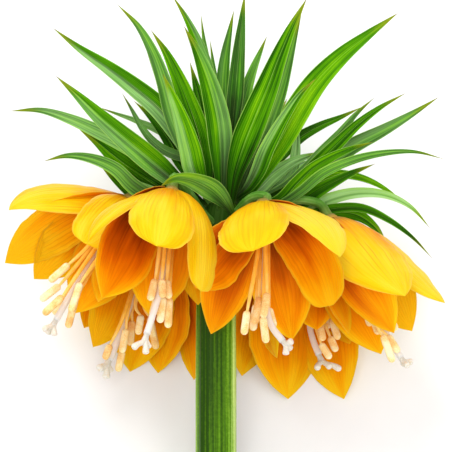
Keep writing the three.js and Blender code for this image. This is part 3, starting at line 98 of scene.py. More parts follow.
TUFT = [
    ("tuft", 3.04, {"fold": 8, "b0": 0.34, "tone": 0.5, "blue": 1.4}, [(0, 28.93, -1.52), (-2.01, 37.1, 1.74), (-4.63, 45.34, 4.12), (-6.16, 54.22, 4.9), (-8.37, 62.93, 5.78), (-11.55, 71.33, 6.8), (-15.54, 79.39, 7.55), (-20.34, 87.01, 8.36)]),
    ("tuft", 1.71, {"fold": 8, "b0": 0.34, "tone": 0.5, "blue": 0.3}, [(0, 28.97, -3.04), (-1.7, 36.3, -3.75), (-3.33, 43.66, -4.22), (-4.84, 51.06, -4.27), (-6.26, 58.47, -4.17), (-7.59, 65.91, -3.95), (-8.72, 73.37, -3.77), (-9.54, 80.88, -3.8)]),
    ("tuft", 1.6, {"fold": 8, "b0": 0.34, "tone": 0.5, "blue": 0.3}, [(0.38, 29.02, -4.56), (-0.4, 34.91, -6.34), (-1.35, 40.86, -7.79), (-2.77, 46.85, -8.5), (-3.85, 52.94, -8.87), (-4.55, 59.1, -9.02), (-5.29, 65.25, -9.21), (-6.14, 71.39, -9.5)]),
    ("tuft", 2.85, {"fold": 10, "b0": 0.34, "tone": 0.45, "blue": 0.2}, [(0.76, 29, -3.8), (-0.27, 36.57, -5.2), (-1.43, 44.21, -5.99), (-1.42, 51.97, -6.12), (-0.93, 59.73, -6.07), (0.07, 67.43, -6.24), (1.52, 75.06, -6.53), (3.06, 82.67, -6.84)]),
    ("tuft", 3.31, {"fold": 16, "b0": 0.34, "tone": 0.38, "blue": 0.12}, [(1.14, 28.95, -2.28), (2.25, 37.14, 0.26), (3.1, 45.71, 1.14), (3.87, 54.33, 1.54), (4.6, 62.96, 1.54), (5.4, 71.59, 1.54), (6.28, 80.21, 1.47), (7.21, 88.81, 1.14)]),
    ("tuft", 2.66, {"fold": 10, "b0": 0.34, "tone": 0.48, "blue": 0.25}, [(1.53, 28.98, -3.42), (3.62, 35.19, -3.43), (5.31, 41.51, -3.22), (6.91, 47.85, -2.97), (8.5, 54.2, -2.69), (10.6, 60.39, -2.77), (13.09, 66.44, -3.1), (15.64, 72.46, -3.42)]),
    ("tuft", 2.09, {"fold": 10, "b0": 0.34, "tone": 0.5, "blue": 0.9}, [(-1.14, 28.61, -3.8), (-7.28, 32.29, -4.72), (-12.94, 36.72, -5.21), (-17.99, 41.86, -5.3), (-22.03, 47.81, -4.9), (-25.03, 54.31, -4.17), (-27.81, 60.95, -4.55), (-30.56, 67.61, -4.94)]),
    ("tuft", 1.71, {"fold": 8, "b0": 0.34, "tone": 0.5, "blue": 0.7}, [(-1.53, 27.87, -4.56), (-8.14, 29.66, -7.72), (-14.9, 31.91, -10.21), (-21.72, 34.7, -11.81), (-28.45, 38.02, -12.61), (-35.36, 40.88, -13.56), (-42.41, 43.38, -14.66), (-49.44, 45.96, -15.58)]),
    ("tuft", 1.98, {"fold": 10, "b0": 0.34, "tone": 0.4, "blue": 0.5}, [(-1.53, 27.47, -3.75), (-8.42, 26.25, -5.47), (-15.5, 26.36, -6.54), (-22.42, 28.43, -7.18), (-28.24, 32.68, -7.56), (-32.69, 38.42, -7.61), (-36.2, 44.75, -8.38), (-39.88, 51, -8.74)]),
    ("tuft", 3.42, {"fold": 12, "b0": 0.34, "flat": 1, "tone": 0.45}, [(0.76, 29.02, -4.56), (0.68, 32.12, -13.51), (0.93, 35.4, -22.38), (1.52, 38.89, -31.16), (2.32, 42.43, -40.17), (3.34, 46.02, -49.51), (4.46, 49.52, -59.14), (5.69, 52.84, -68.7)]),
    ("tuft", 3.23, {"fold": 12, "b0": 0.34, "flat": 1, "tone": 0.5, "blue": 0.3}, [(-1.15, 28.25, -4.56), (-3.75, 31.67, -13.51), (-6.09, 35.25, -22.47), (-8.08, 39, -31.44), (-9.98, 42.98, -40.62), (-11.81, 47.25, -50.1), (-13.63, 51.48, -59.88), (-15.46, 55.32, -69.7)]),
]

BUD = [(0.5, 26.44, -2.36), (0.76, 32.79, -3.23)]

# A petal's tone runs its colour from deep orange (low) to yellow (high): partly the petal's own colour, partly
# painted light and shade, lower on petals that sit in shadow. flip puts the inside colouring on both faces, as
# painted shade on outer faces that lie in shadow.
FLOWERS = [
    {"n": 1, "base": (-36.33, 10.22, 3.8), "axis": (-0.4840, -0.8055, 0.3420),
     "stalk": [(-9.38, 4.21, 1.32), (-13.3, 6.38, 1.69), (-17.22, 8.56, 2.01), (-21.22, 10.59, 2.35), (-25.34, 12.33, 2.84), (-29.53, 13.92, 2.97), (-33.63, 14.99, 1.75), (-35.63, 11.39, 3.3)],
     "tepals": [
         ((-51.8, -6.2, 38), 8.74, {"blunt": 1, "tw": 6, "m": (0.38, -0.76, -3.42), "tone": 0.62}),
         ((-81.34, 6, 12.92), 10.64, {"tw": -12, "m": (1.52, -3.04, 0), "broad": 1, "tw": 50, "w": 1, "tone": 0.62}),
         ((-83.31, -13.95, 7.6), 12.54, {"tw": -18, "m": (1.52, -2.66, 0), "tone": 0.8}),
         ((-73.14, -20.19, -2.28), 12.54, {"m": (0.76, -0.76, 0), "tone": 0.65}),
         ((-57, -33.06, 0), 12.16, {"tone": 0.45}),
         ((-48.17, -28.6, 9.12), 11.4, {}),
     ],
     "ring": 3.1,
     "stamens": [
         [(-39.98, 8.98, 6.11), (-51.1, -6.76, 10.7), (-59.15, -14.6, 14.03), (-65.75, -20.55, 16.04)],
         [(-40.26, 8.06, 3.53), (-49.43, -6.41, 6.64), (-62.76, -22.55, 10.53), (-69.38, -27.75, 12.39)],
         [(-37.78, 8.29, 7.59), (-48.45, -7.51, 10.99), (-61.19, -26.49, 17.19), (-67.76, -32.76, 19.22)],
         [(-38.33, 6.43, 2.44), (-47.51, -7.54, 6.85), (-61.14, -27.01, 11.37), (-64.41, -32.95, 12.9)],
         [(-35.84, 6.66, 6.5), (-45.52, -8.28, 9.92), (-54.69, -21.73, 14.33), (-57.91, -31.76, 16.66)],
         [(-36.12, 5.74, 3.92), (-46.43, -9.06, 6.23), (-56.78, -27.82, 9.99), (-59.26, -37.88, 12.27)],
     ],
     "style": [(-37.54, 8.21, 4.66), (-40.25, 3.69, 6.57), (-47.82, -7.91, 8.63), (-55.53, -21.01, 12.13), (-61.36, -31.05, 14.76), (-63.54, -35.13, 15.8)],
     "stigma": [(-68.1, -38.7, 19.75), (-64.2, -41.06, 17.04), (-66.99, -40.42, 14.53)]},
    {"n": 2, "base": (-20.01, 13.16, 23.56), "axis": (-0.1986, -0.8603, 0.4695),
     "stalk": [(-6.64, 2.21, 6.54), (-8.55, 4.39, 9.72), (-10.31, 6.94, 12.71), (-12.04, 9.67, 15.54), (-14.02, 12.42, 18.19), (-16.34, 15.44, 20.14), (-19.12, 18.21, 21.01), (-19.72, 14.4, 22.88)],
     "tepals": [
         ((-24.75, -7.07, 66.12), 11.4, {"blunt": 1, "m": (-0.76, -1.14, 0), "skew": -0.14, "w": 1, "late": 1}),
         ((-49.29, -5.72, 57), 8.36, {"tw": -2, "m": (0, -0.38, 0), "broad": 1, "tw": 10, "tw1": 12, "cup": 0.2, "tone": 0.5, "w": 0.7, "m": [0, -4.0, 10.0]}),
         ((-45.27, -26.29, 37.24), 13.68, {"tw": -17, "m": (1.9, -1.14, 3.8), "tone": 0.22}),
         ((-28.28, -33.49, 19.76), 11.78, {}),
         ((-10.47, -29.54, 15.2), 9.88, {"m": (0, 0, -1.14)}),
         ((-8.25, -15.78, 53.2), 9.5, {"tw": -8, "m": (0.38, 2.28, 2.28), "blunt": 1, "w": 0.84, "reach": [-0.8, -7.6, 0], "tone": 0.7}),
     ],
     "ring": 4.15,
     "stamens": [
         [(-23.23, 10.29, 26.75), (-24.22, -6.97, 32.18), (-25.91, -19.71, 37.24), (-27.66, -26.93, 39.82)],
         [(-23.29, 8.98, 24.33), (-23.59, -7, 27.49), (-25.27, -26.37, 32.59), (-27.03, -32.87, 34.92)],
         [(-20.87, 10.51, 28.14), (-22.38, -7.34, 34.28), (-23.34, -19.69, 40.47), (-22.92, -25.83, 42.57)],
         [(-20.98, 7.89, 23.3), (-21.72, -7.36, 29.32), (-23.04, -26.34, 35.29), (-24.06, -35, 38.32)],
         [(-18.56, 9.41, 27.11), (-20.58, -6.98, 31.89), (-21.56, -20.1, 37.16), (-20.78, -26.25, 39.28)],
         [(-18.62, 8.11, 24.69), (-19.92, -7.01, 27.16), (-20.89, -26.75, 32.36), (-21.18, -36.87, 35.87)],
     ],
     "style": [(-20.72, 10.1, 25.23), (-21.83, 5.28, 27.86), (-22.06, -7.72, 31.12), (-24.13, -23.4, 37.21), (-26.94, -33.5, 40.83), (-28.7, -39.23, 42.91)],
     "stigma": [(-33.61, -44.09, 47.65), (-28.98, -46.37, 45.41), (-28, -44.37, 41.94)]},
    {"n": 3, "base": (13.71, 8.52, 23.56), "axis": (0.0616, -0.8808, 0.4695),
     "stalk": [(1.88, 1.66, 6.83), (3.36, 3.73, 9.83), (4.95, 6, 12.69), (7.3, 8.82, 15.96), (9.96, 10.72, 18.81), (12.62, 11.36, 20.71), (15.01, 10.72, 21.85), (14.9, 9.2, 22.99)],
     "tepals": [
         ((9.54, -8.83, 66.88), 11.78, {"blunt": 1, "m": (0, -0.76, 0), "skew": 0.12, "late": 1, "w": 1.04}),
         ((-11.35, -22.69, 34.96), 12.16, {"tw": -14, "m": (3.42, -4.18, -2.28), "u": (-1, 0, -0.6), "tone": 0.28}),
         ((-5.55, -39.96, 25.08), 12.16, {"m": (2.66, 0, 1.14), "tone": 0.3}),
         ((24.64, -42.56, 16.72), 11.78, {"m": (-1.14, 0, 0), "tone": 0.36}),
         ((39.16, -28.92, 34.96), 12.92, {"blunt": 1, "tw": 14, "m": (0.38, -2.28, 1.9), "m": [0.38, -2.28, 3.1]}),
         ((40.86, -11.11, 53.96), 11.02, {"tw": -24, "m": (-1.52, 0, 0.76), "broad": 1, "cup": 0.2, "tone": 1}),
     ],
     "ring": 3.4,
     "stamens": [
         [(11.53, 5.61, 26.58), (12.13, -6.99, 30.71), (7.64, -31.3, 40.04), (6.53, -39.19, 42.82)],
         [(14.04, 3.84, 22.94), (13.3, -5.91, 27.15), (12.11, -26.41, 33.75), (10.6, -35.46, 36.91)],
         [(13.86, 6.42, 27.8), (14.34, -5.88, 32.01), (14.95, -24.8, 40.34), (13.45, -33.08, 43.21)],
         [(16.37, 4.65, 24.15), (15.5, -5.9, 26.46), (15.73, -30.37, 33.75), (17.52, -36.86, 36.04)],
         [(16.28, 5.94, 26.58), (14.72, -7.36, 30.83), (13.48, -33.51, 40.83), (14.52, -42.11, 43.85)],
         [(11.62, 4.32, 24.15), (12.56, -7.39, 25.23), (11, -29.34, 30.85), (9.87, -38.02, 33.88)],
     ],
     "style": [(13.88, 6.06, 24.87), (14.23, 1.12, 27.5), (14.37, -7.37, 28.81), (14.27, -25.61, 34.87), (16.4, -35.72, 38.41), (20.72, -41.81, 40.69)],
     "stigma": [(23.92, -41.68, 43.54), (21.77, -46.81, 42.48), (23.67, -44.79, 39.18)]},
    {"n": 4, "base": (38.92, 2.83, 5.32), "axis": (0.4318, -0.8474, 0.3090),
     "stalk": [(5.4, 4.35, 1.26), (10.28, 6.29, 1.92), (15.29, 7.8, 2.74), (20.4, 9.01, 3.44), (25.58, 9.91, 4.04), (30.84, 9.68, 4.06), (35.86, 8.12, 3.48), (38.29, 4.06, 4.87)],
     "tepals": [
         ((65.35, -25.56, 37.24), 14.06, {"m": (-3.8, -3.8, -1.9), "broad": 1, "tone": 0.6, "tw": 3, "skew": -0.3, "w": 1.14}),
         ((81.89, -28.79, 15.2), 10.64, {"tw": 2, "m": (-3.04, -5.7, 0), "broad": 1, "tw": -52, "w": 0.95, "tone": 0.8}),
         ((70.91, -40.03, -3.04), 12.16, {"tone": 1.1}),
         ((62.21, -39.62, 24.32), 10.64, {"u": (-0.5, -0.1, 0.85), "flip": 1, "tone": 0.35}),
         ((58.9, -48.64, 0), 12.54, {}),
         ((46.1, -40.48, 12.92), 12.16, {"w": 0.88}),
     ],
     "ring": 3.4,
     "stamens": [
         [(40.2, 0.33, 9.13), (55.63, -35.84, 18.55), (58.48, -40.97, 21.96), (61.69, -50.17, 24.17)],
         [(40.97, -1.19, 3.89), (53.31, -29.66, 9.53), (54.81, -33.04, 8.32), (57.33, -40.47, 10.08)],
         [(42.51, 1.03, 7.82), (57.53, -29.51, 16.11), (60.02, -32.43, 18.01), (63.27, -38.7, 19.61)],
         [(42.9, 0.27, 5.2), (54.02, -29.26, 11.42), (56.62, -32.25, 11.31), (59.89, -38.56, 12.92)],
         [(38.27, -1.13, 7.82), (55.32, -34.39, 16.29), (60.4, -41.02, 19.13), (64.03, -46.9, 20.7)],
         [(38.65, -1.89, 5.2), (51.12, -27.82, 7.03), (52.64, -30.83, 4.59), (54.43, -37.54, 6.14)],
     ],
     "style": [(40.13, 0.46, 6.19), (42.55, -4.28, 7.92), (56.87, -34.42, 14.56), (59.77, -40.35, 16.01), (63.4, -46.24, 17.58), (65.21, -49.19, 18.36)],
     "stigma": [(67.56, -51.97, 21.89), (69.62, -50.63, 19.14), (66.48, -51.54, 16.26)]},
    {"n": 5, "base": (-27.86, -6.19, -17.48), "axis": (-0.2243, -0.8996, 0.3746),
     "stalk": [(-8.03, -1, -4.95), (-10.89, 0.44, -7.79), (-13.72, 1.67, -10.75), (-16.95, 2.4, -13.45), (-20.74, 2.37, -15.42), (-24.28, 1.45, -17.56), (-26.73, -1.13, -19.79), (-27.54, -4.89, -18.02)],
     "tepals": [
         ((-51.23, -46.61, -12.92), 12.54, {"tw": -10, "m": (1.14, 0, 0), "u": (-0.8, 0, -0.4), "tone": 0.68}),
         ((-55.08, -39.57, -19.76), 11.4, {"u": (-0.7, 0, -0.7), "tone": 0.42}),
         ((-37.42, -56.9, -24.36), 12.16, {"tone": 0.42}),
         ((-26.48, -57.23, -23.36), 12.16, {"tone": 0.42}),
         ((-12.38, -59.6, -17.52), 11.78, {"tone": 0.42}),
         ((-27.9, -33.93, 7.6), 9.5, {"tone": 0.25, "flip": 1}),
     ],
     "ring": 2.65,
     "stamens": [
         [(-31.2, -8.23, -16.1), (-39.13, -34.14, -8.18), (-44.33, -45.48, -4.06), (-46.18, -50.76, -2.82)],
         [(-30.29, -9.42, -18.41), (-38.13, -34.28, -13.07), (-39.96, -48.41, -10.96), (-41.43, -55.62, -9.34)],
         [(-26.82, -8.54, -14.23), (-34.56, -28.42, -10.01), (-32.56, -34.48, -7.78), (-33.66, -41.31, -6.25)],
         [(-25.92, -9.73, -16.54), (-31.61, -28.52, -13.62), (-29.26, -35.43, -12.64), (-26.88, -46.85, -10.14)],
         [(-29.46, -7.79, -14.01), (-36.91, -28.45, -10.79), (-38.33, -39.86, -7.61), (-39.79, -48.2, -5.75)],
         [(-27.66, -10.17, -18.63), (-35.5, -28.56, -15.31), (-36.25, -37.02, -14.9), (-36.94, -45.79, -13)],
     ],
     "style": [(-28.32, -8.04, -16.71), (-29.58, -13.07, -14.61), (-36.93, -30.39, -12.12), (-40.3, -39.92, -10.32), (-43.66, -48.64, -8.26), (-44.78, -51.29, -7.62)],
     "stigma": [(-48.8, -54.52, -3.92), (-45.86, -58.47, -6.04), (-44.48, -55.99, -9.37)]},
    {"n": 6, "base": (29.82, -9.3, -18.24), "axis": (0.0647, -0.9249, 0.3746),
     "stalk": [(3.41, -2.97, -4.57), (7.31, -1.55, -7.76), (11.45, -0.49, -10.8), (15.81, 0.09, -13.63), (20.44, 0.05, -16.08), (25, -1, -18.39), (29.14, -3.49, -20.38), (29.73, -7.95, -18.78)],
     "tepals": [
         ((19.3, -49.96, 3.8), 11.78, {"m": (-5.32, -1.52, 0), "tone": 0.42, "flip": 1}),
         ((6.2, -58.14, -19.04), 12.54, {"u": (-0.6, 0, -0.8)}),
         ((24.03, -67.04, -18.78), 14.06, {"m": (-1.9, 0, 0), "w": 1.13}),
         ((45.65, -66.93, -17.25), 12.16, {"m": (-3.04, 0, 0), "w": 1.08}),
         ((47.91, -45.59, -15.96), 12.16, {"m": (0, 0, -1.52)}),
         ((34.41, -39.33, 4.56), 10.64, {"m": (-1.52, 0, -1.14), "tone": 0.25, "flip": 1}),
     ],
     "ring": 2.8,
     "stamens": [
         [(31.74, -11.39, -15.07), (35.36, -28.44, -10.82), (40.6, -36, -7.52), (42.8, -43.18, -5.4)],
         [(28.32, -13.21, -18.98), (33.19, -28.56, -14.67), (37.39, -34.69, -13.52), (39.64, -39.26, -12.11)],
         [(29.03, -11.4, -14.63), (32.27, -28.43, -9.48), (35.6, -36.37, -5.41), (37.05, -43.55, -3.35)],
         [(31.04, -13.2, -19.42), (34.7, -28.53, -12.82), (39.94, -42.63, -8.42), (42.17, -47.92, -6.81)],
         [(27.32, -12.31, -16.58), (31.55, -28.47, -10.89), (36.35, -45.15, -4.97), (39.72, -50.42, -3.31)],
         [(32.75, -12.29, -17.47), (36.28, -28.56, -16.29), (38.59, -32.42, -16.94), (41.23, -36.99, -15.48)],
     ],
     "style": [(29.96, -11.33, -17.42), (30.33, -16.51, -15.32), (31.2, -28.5, -14.02), (32.25, -39.16, -12.71), (33.73, -44.85, -11.08), (35.6, -49.38, -9.74)],
     "stigma": [(34.68, -54.5, -3.43), (40.12, -54.26, -5.94), (44.05, -55.15, -8.11)]},
]


def row_frame(p):
    """Plant frame in mm to the row's frame in metres."""
    p = np.asarray(p, float)
    c, s = math.cos(LIE), math.sin(LIE)
    q = np.stack([p[..., 0], p[..., 1] * c - p[..., 2] * s, p[..., 1] * s + p[..., 2] * c], -1) + SHIFT
    # what would sink into the surface eases onto it instead
    z = q[..., 2]
    q[..., 2] = np.where(z < 0.9, 0.9 * np.exp(np.minimum(z - 0.9, 0.0) / 0.9), z)
    return q / 1000.0


def unit(v):
    v = np.asarray(v, float)
    return v / np.maximum(np.linalg.norm(v, axis=-1, keepdims=True), 1e-12)


def arc(line, ts):
    """Points and unit tangents at equal shares ts of a polyline's length."""
    seg = np.linalg.norm(np.diff(line, axis=0), axis=1)
    cum = np.concatenate([[0], np.cumsum(seg)])
    length = cum[-1]
    ts = np.asarray(ts, float)
    at = lambda s: np.stack([np.interp(np.clip(s, 0, length), cum, line[:, k]) for k in range(3)], -1)
    e = 0.02 * length
    return at(ts * length), unit(at(np.clip(ts * length + e, 0, length)) - at(np.clip(ts * length - e, 0, length))), length


def smooth(points, per=24):
    """Catmull-Rom curve through the points."""
    p = np.asarray(points, float)
    q = np.vstack([2 * p[0] - p[1], p, 2 * p[-1] - p[-2]])
    out = []
    for i in range(len(p) - 1):
        a, b, c, d = q[i:i + 4]
        for k in range(per):
            t = k / per
            out.append(0.5 * ((2 * b) + (c - a) * t + (2 * a - 5 * b + 4 * c - d) * t * t + (3 * b - a - 3 * c + d) * t ** 3))
    out.append(p[-1])
    return np.array(out)


def table(tab, u):
    """Smooth interpolation through a table that never overshoots."""
    x, y = (np.array(v, float) for v in zip(*tab))
    h = np.diff(x)
    d = np.diff(y) / h
    m = np.zeros(len(x))
    m[0], m[-1] = d[0], d[-1]
    for i in range(1, len(x) - 1):
        m[i] = 0 if d[i - 1] * d[i] <= 0 else 2 * d[i - 1] * d[i] / (d[i - 1] + d[i])
    u = np.asarray(u, float)
    i = np.clip(np.searchsorted(x, u, side="right") - 1, 0, len(x) - 2)
    t = (u - x[i]) / h[i]
    return (2 * t ** 3 - 3 * t * t + 1) * y[i] + (t ** 3 - 2 * t * t + t) * h[i] * m[i] + (-2 * t ** 3 + 3 * t * t) * y[i + 1] + (t ** 3 - t * t) * h[i] * m[i + 1]


def wave(seed, x, n=4, rough=0.6):
    """A smooth repeatable wiggle of x, about -1 to 1."""
    rng = np.random.default_rng(seed)
    out, amp, tot = 0, 1.0, 0
    for k in range(n):
        out = out + amp * np.sin(2 * math.pi * (k + 1) * rng.uniform(0.7, 1.3) * x + rng.uniform(0, 6.28))
        tot += amp
        amp *= rough
    return out / tot


# ------------------------------------------------------------------ meshes
class Build:
    """Gathers shells with two texture layers: UVMap is across and along, Look is (tone, second tone)."""

    def __init__(self):
        self.v, self.f, self.uv, self.look, self.mat = [], [], [], [], []
        self.n = 0

    def add(self, verts, faces, uvs, look=(0.5, 0.0), mat=0):
        """verts N x 3 in mm, faces of indices, uvs one list of (u, v) per face."""
        self.v.append(np.asarray(verts, float))
        for face, uv in zip(faces, uvs):
            self.f.append([i + self.n for i in face])
            self.uv.extend(uv)
            self.look.extend([look] * len(face))
            self.mat.append(mat)
        self.n += len(verts)

    def obj(self, name, node, mats, sharp=None):
        me = bpy.data.meshes.new(name)
        me.from_pydata(row_frame(np.vstack(self.v)).tolist(), [], self.f)
        for m in mats:
            me.materials.append(m)
        me.polygons.foreach_set("material_index", self.mat)
        me.polygons.foreach_set("use_smooth", [True] * len(self.f))
        for layer, data in (("UVMap", self.uv), ("Look", self.look)):
            uv = me.uv_layers.new(name=layer)
            uv.data.foreach_set("uv", np.array(data, float).ravel())
        me.uv_layers.active = me.uv_layers["UVMap"]
        me.validate()
        me.update()
        o = bpy.data.objects.new(name, me)
        bpy.context.scene.collection.objects.link(o)
        if sharp:
            me.set_sharp_from_angle(angle=math.radians(sharp))
        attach(o, "root")
        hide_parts(node)
        return o


def grid_normals(g):
    du = np.gradient(g, axis=0)
    dv = np.gradient(g, axis=1)
    n = np.cross(du, dv)
    bad = np.linalg.norm(n, axis=-1) < 1e-9
    if bad.any():
        n[-1] = n[-2]
    return unit(n)


def sheet(build, g, facing, thick, us, vs, look, mats):
    """A closed thin shell round the grid g (along x across): mats are (face side, other side).
    facing tells which way the face side looks. thick is its full thickness at each grid point."""
    n = grid_normals(g)
    if (n * facing).sum() < 0:
        n = -n
    nu, nv = g.shape[:2]
    top = g + n * thick[..., None] / 2
    low = g - n * thick[..., None] / 2
    a = np.arange(nu * nv).reshape(nu, nv)
    for skin, flip, mat in ((top, False, mats[0]), (low, True, mats[1])):
        faces, uvs = [], []
        for i in range(nu - 1):
            for j in range(nv - 1):
                q = [(i, j), (i, j + 1), (i + 1, j + 1), (i + 1, j)]
                if flip:
                    q = q[::-1]
                faces.append([a[x] for x in q])
                uvs.append([((vs[y] + 1) / 2, us[x]) for x, y in q])
        build.add(skin.reshape(-1, 3), faces, uvs, look, mat)
    # the rim between the two skins
    ring = [(i, 0) for i in range(nu)] + [(nu - 1, j) for j in range(1, nv)] + [(i, nv - 1) for i in range(nu - 2, -1, -1)] + [(0, j) for j in range(nv - 2, 0, -1)]
    m = len(ring)
    verts = np.array([top[r] for r in ring] + [low[r] for r in ring])
    faces, uvs = [], []
    for k in range(m):
        k2 = (k + 1) % m
        faces.append([k, k2, m + k2, m + k])
        uv = [((vs[r[1]] + 1) / 2, us[r[0]]) for r in (ring[k], ring[k2])]
        uvs.append([uv[0], uv[1], uv[1], uv[0]])
    build.add(verts, faces, uvs, look, mats[0])


def tube(build, line, radius, n, seg, look=(0.5, 0.0), mat=0, ends=(True, True), lobes=None, u0=0.0):
    """A round closed rod along a line of points. radius is a function of the share along it."""
    ts = np.linspace(0, 1, seg + 1)
    pos, tan, length = arc(line, ts)
    ref = np.array([0, 0, 1.0]) if abs(tan[0][2]) < 0.9 else np.array([1.0, 0, 0])
    s = unit(np.cross(tan[0], ref))
    ang = np.linspace(0, 2 * math.pi, n, endpoint=False)
    verts = []
    for i in range(seg + 1):
        s = unit(s - tan[i] * np.dot(s, tan[i]))
        b = np.cross(tan[i], s)
        r = radius(ts[i]) * (1 + (lobes(ang, ts[i]) if lobes else 0 * ang))
        verts.extend(pos[i] + r[:, None] * (np.cos(ang)[:, None] * s + np.sin(ang)[:, None] * b))
    faces, uvs = [], []
    for i in range(seg):
        for j in range(n):
            j2 = (j + 1) % n
            faces.append([i * n + j, i * n + j2, (i + 1) * n + j2, (i + 1) * n + j])
            uvs.append([(j / n, ts[i]), ((j + 1) / n, ts[i]), ((j + 1) / n, ts[i + 1]), (j / n, ts[i + 1])])
    for end, on in enumerate(ends):
        if not on:
            continue
        base = 0 if end == 0 else seg * n
        c = len(verts)
        verts.append(pos[0] if end == 0 else pos[-1])
        for j in range(n):
            j2 = (j + 1) % n
            f = [c, base + j2, base + j] if end == 0 else [c, base + j, base + j2]
            faces.append(f)
            uvs.append([(0.5, float(end))] * 3)
    build.add(np.array(verts), faces, uvs, look, mat)


# ------------------------------------------------------------------ materials
def srgb(r, g, b, k=0.8):
    f = lambda c: k * (c / 12.92 if c <= 0.04045 else ((c + 0.055) / 1.055) ** 2.4)
    return (f(r / 255), f(g / 255), f(b / 255), 1.0)


class Mat:
    """A short way to write a procedural material."""

    def __init__(self, name):
        self.m = bpy.data.materials.new(name)
        self.m.use_nodes = True
        self.t = self.m.node_tree
        self.t.nodes.clear()
        self.out = self.t.nodes.new("ShaderNodeOutputMaterial")
        self.b = self.t.nodes.new("ShaderNodeBsdfPrincipled")
        self.t.links.new(self.b.outputs[0], self.out.inputs[0])
        uv = self.t.nodes.new("ShaderNodeUVMap")
        uv.uv_map = "UVMap"
        s = self.t.nodes.new("ShaderNodeSeparateXYZ")
        self.t.links.new(uv.outputs[0], s.inputs[0])
        self.x, self.y = s.outputs[0], s.outputs[1]
        look = self.t.nodes.new("ShaderNodeUVMap")
        look.uv_map = "Look"
        s = self.t.nodes.new("ShaderNodeSeparateXYZ")
        self.t.links.new(look.outputs[0], s.inputs[0])
        self.tone, self.two = s.outputs[0], s.outputs[1]
        self.co = self.t.nodes.new("ShaderNodeTexCoord").outputs["Object"]

    def _in(self, socket, v):
        if isinstance(v, bpy.types.NodeSocket):
            self.t.links.new(v, socket)
        elif v is not None:
            socket.default_value = v

    def math(self, op, a, b=None, c=None, clamp=False):
        n = self.t.nodes.new("ShaderNodeMath")
        n.operation = op
        n.use_clamp = clamp
        for i, v in enumerate((a, b, c)):
            if v is not None:
                self._in(n.inputs[i], v)
        return n.outputs[0]

    def range(self, v, a, b, c=0.0, d=1.0, kind="SMOOTHSTEP"):
        n = self.t.nodes.new("ShaderNodeMapRange")
        n.interpolation_type = kind
        n.clamp = True
        for k, x in zip(("Value", "From Min", "From Max", "To Min", "To Max"), (v, a, b, c, d)):
            self._in(n.inputs[k], x)
        return n.outputs[0]

    def mix(self, f, a, b, kind="MIX"):
        n = self.t.nodes.new("ShaderNodeMix")
        n.data_type = "RGBA"
        n.blend_type = kind
        n.clamp_factor = True
        self._in(n.inputs[0], f)
        self._in(n.inputs[6], a)
        self._in(n.inputs[7], b)
        return n.outputs[2]

    def ramp(self, f, stops):
        n = self.t.nodes.new("ShaderNodeValToRGB")
        r = n.color_ramp
        r.interpolation = "LINEAR"
        while len(r.elements) < len(stops):
            r.elements.new(0.5)
        for e, (p, c) in zip(r.elements, stops):
            e.position = p
            e.color = c
        self._in(n.inputs[0], f)
        return n.outputs[0]

    def vec(self, x, y, z=0.0):
        n = self.t.nodes.new("ShaderNodeCombineXYZ")
        for i, v in enumerate((x, y, z)):
            self._in(n.inputs[i], v)
        return n.outputs[0]

    def noise(self, vec, scale, detail=3.0, rough=0.5, distort=0.0):
        n = self.t.nodes.new("ShaderNodeTexNoise")
        self._in(n.inputs["Vector"], vec)
        n.inputs["Scale"].default_value = scale
        n.inputs["Detail"].default_value = detail
        n.inputs["Roughness"].default_value = rough
        n.inputs["Distortion"].default_value = distort
        return n.outputs[0]

    def bump(self, height, strength, distance):
        n = self.t.nodes.new("ShaderNodeBump")
        n.inputs["Strength"].default_value = strength
        n.inputs["Distance"].default_value = distance
        self._in(n.inputs["Height"], height)
        self.t.links.new(n.outputs[0], self.b.inputs["Normal"])

    def finish(self, color, rough, spec=0.5, sub=0.0, radius=(1.0, 0.4, 0.1), scale=0.001, sheen=0.0, tint=None):
        self._in(self.b.inputs["Base Color"], color)
        self._in(self.b.inputs["Roughness"], rough)
        self.b.inputs["Specular IOR Level"].default_value = spec
        if tint:
            self.b.inputs["Specular Tint"].default_value = tint
        if sub:
            self.b.inputs["Subsurface Weight"].default_value = sub
            self.b.inputs["Subsurface Radius"].default_value = radius
            self.b.inputs["Subsurface Scale"].default_value = scale
        if sheen:
            self.b.inputs["Sheen Weight"].default_value = sheen
            self.b.inputs["Sheen Roughness"].default_value = 0.5
        return self.m

    def ridge(self, count, wander=0.0, wscale=3.0, seed=0.0):
        """Lines that run lengthwise: 0 to 1, count of them across."""
        x = self.x
        if wander:
            nz = self.noise(self.vec(self.math("MULTIPLY", self.x, 1.5), self.math("MULTIPLY", self.y, wscale), seed), 1.0, 2.0)
            x = self.math("ADD", self.x, self.math("MULTIPLY", self.math("SUBTRACT", nz, 0.5), wander))
        return self.math("ADD", self.math("MULTIPLY", self.math("SINE", self.math("MULTIPLY", x, 2 * math.pi * count)), 0.5), 0.5)


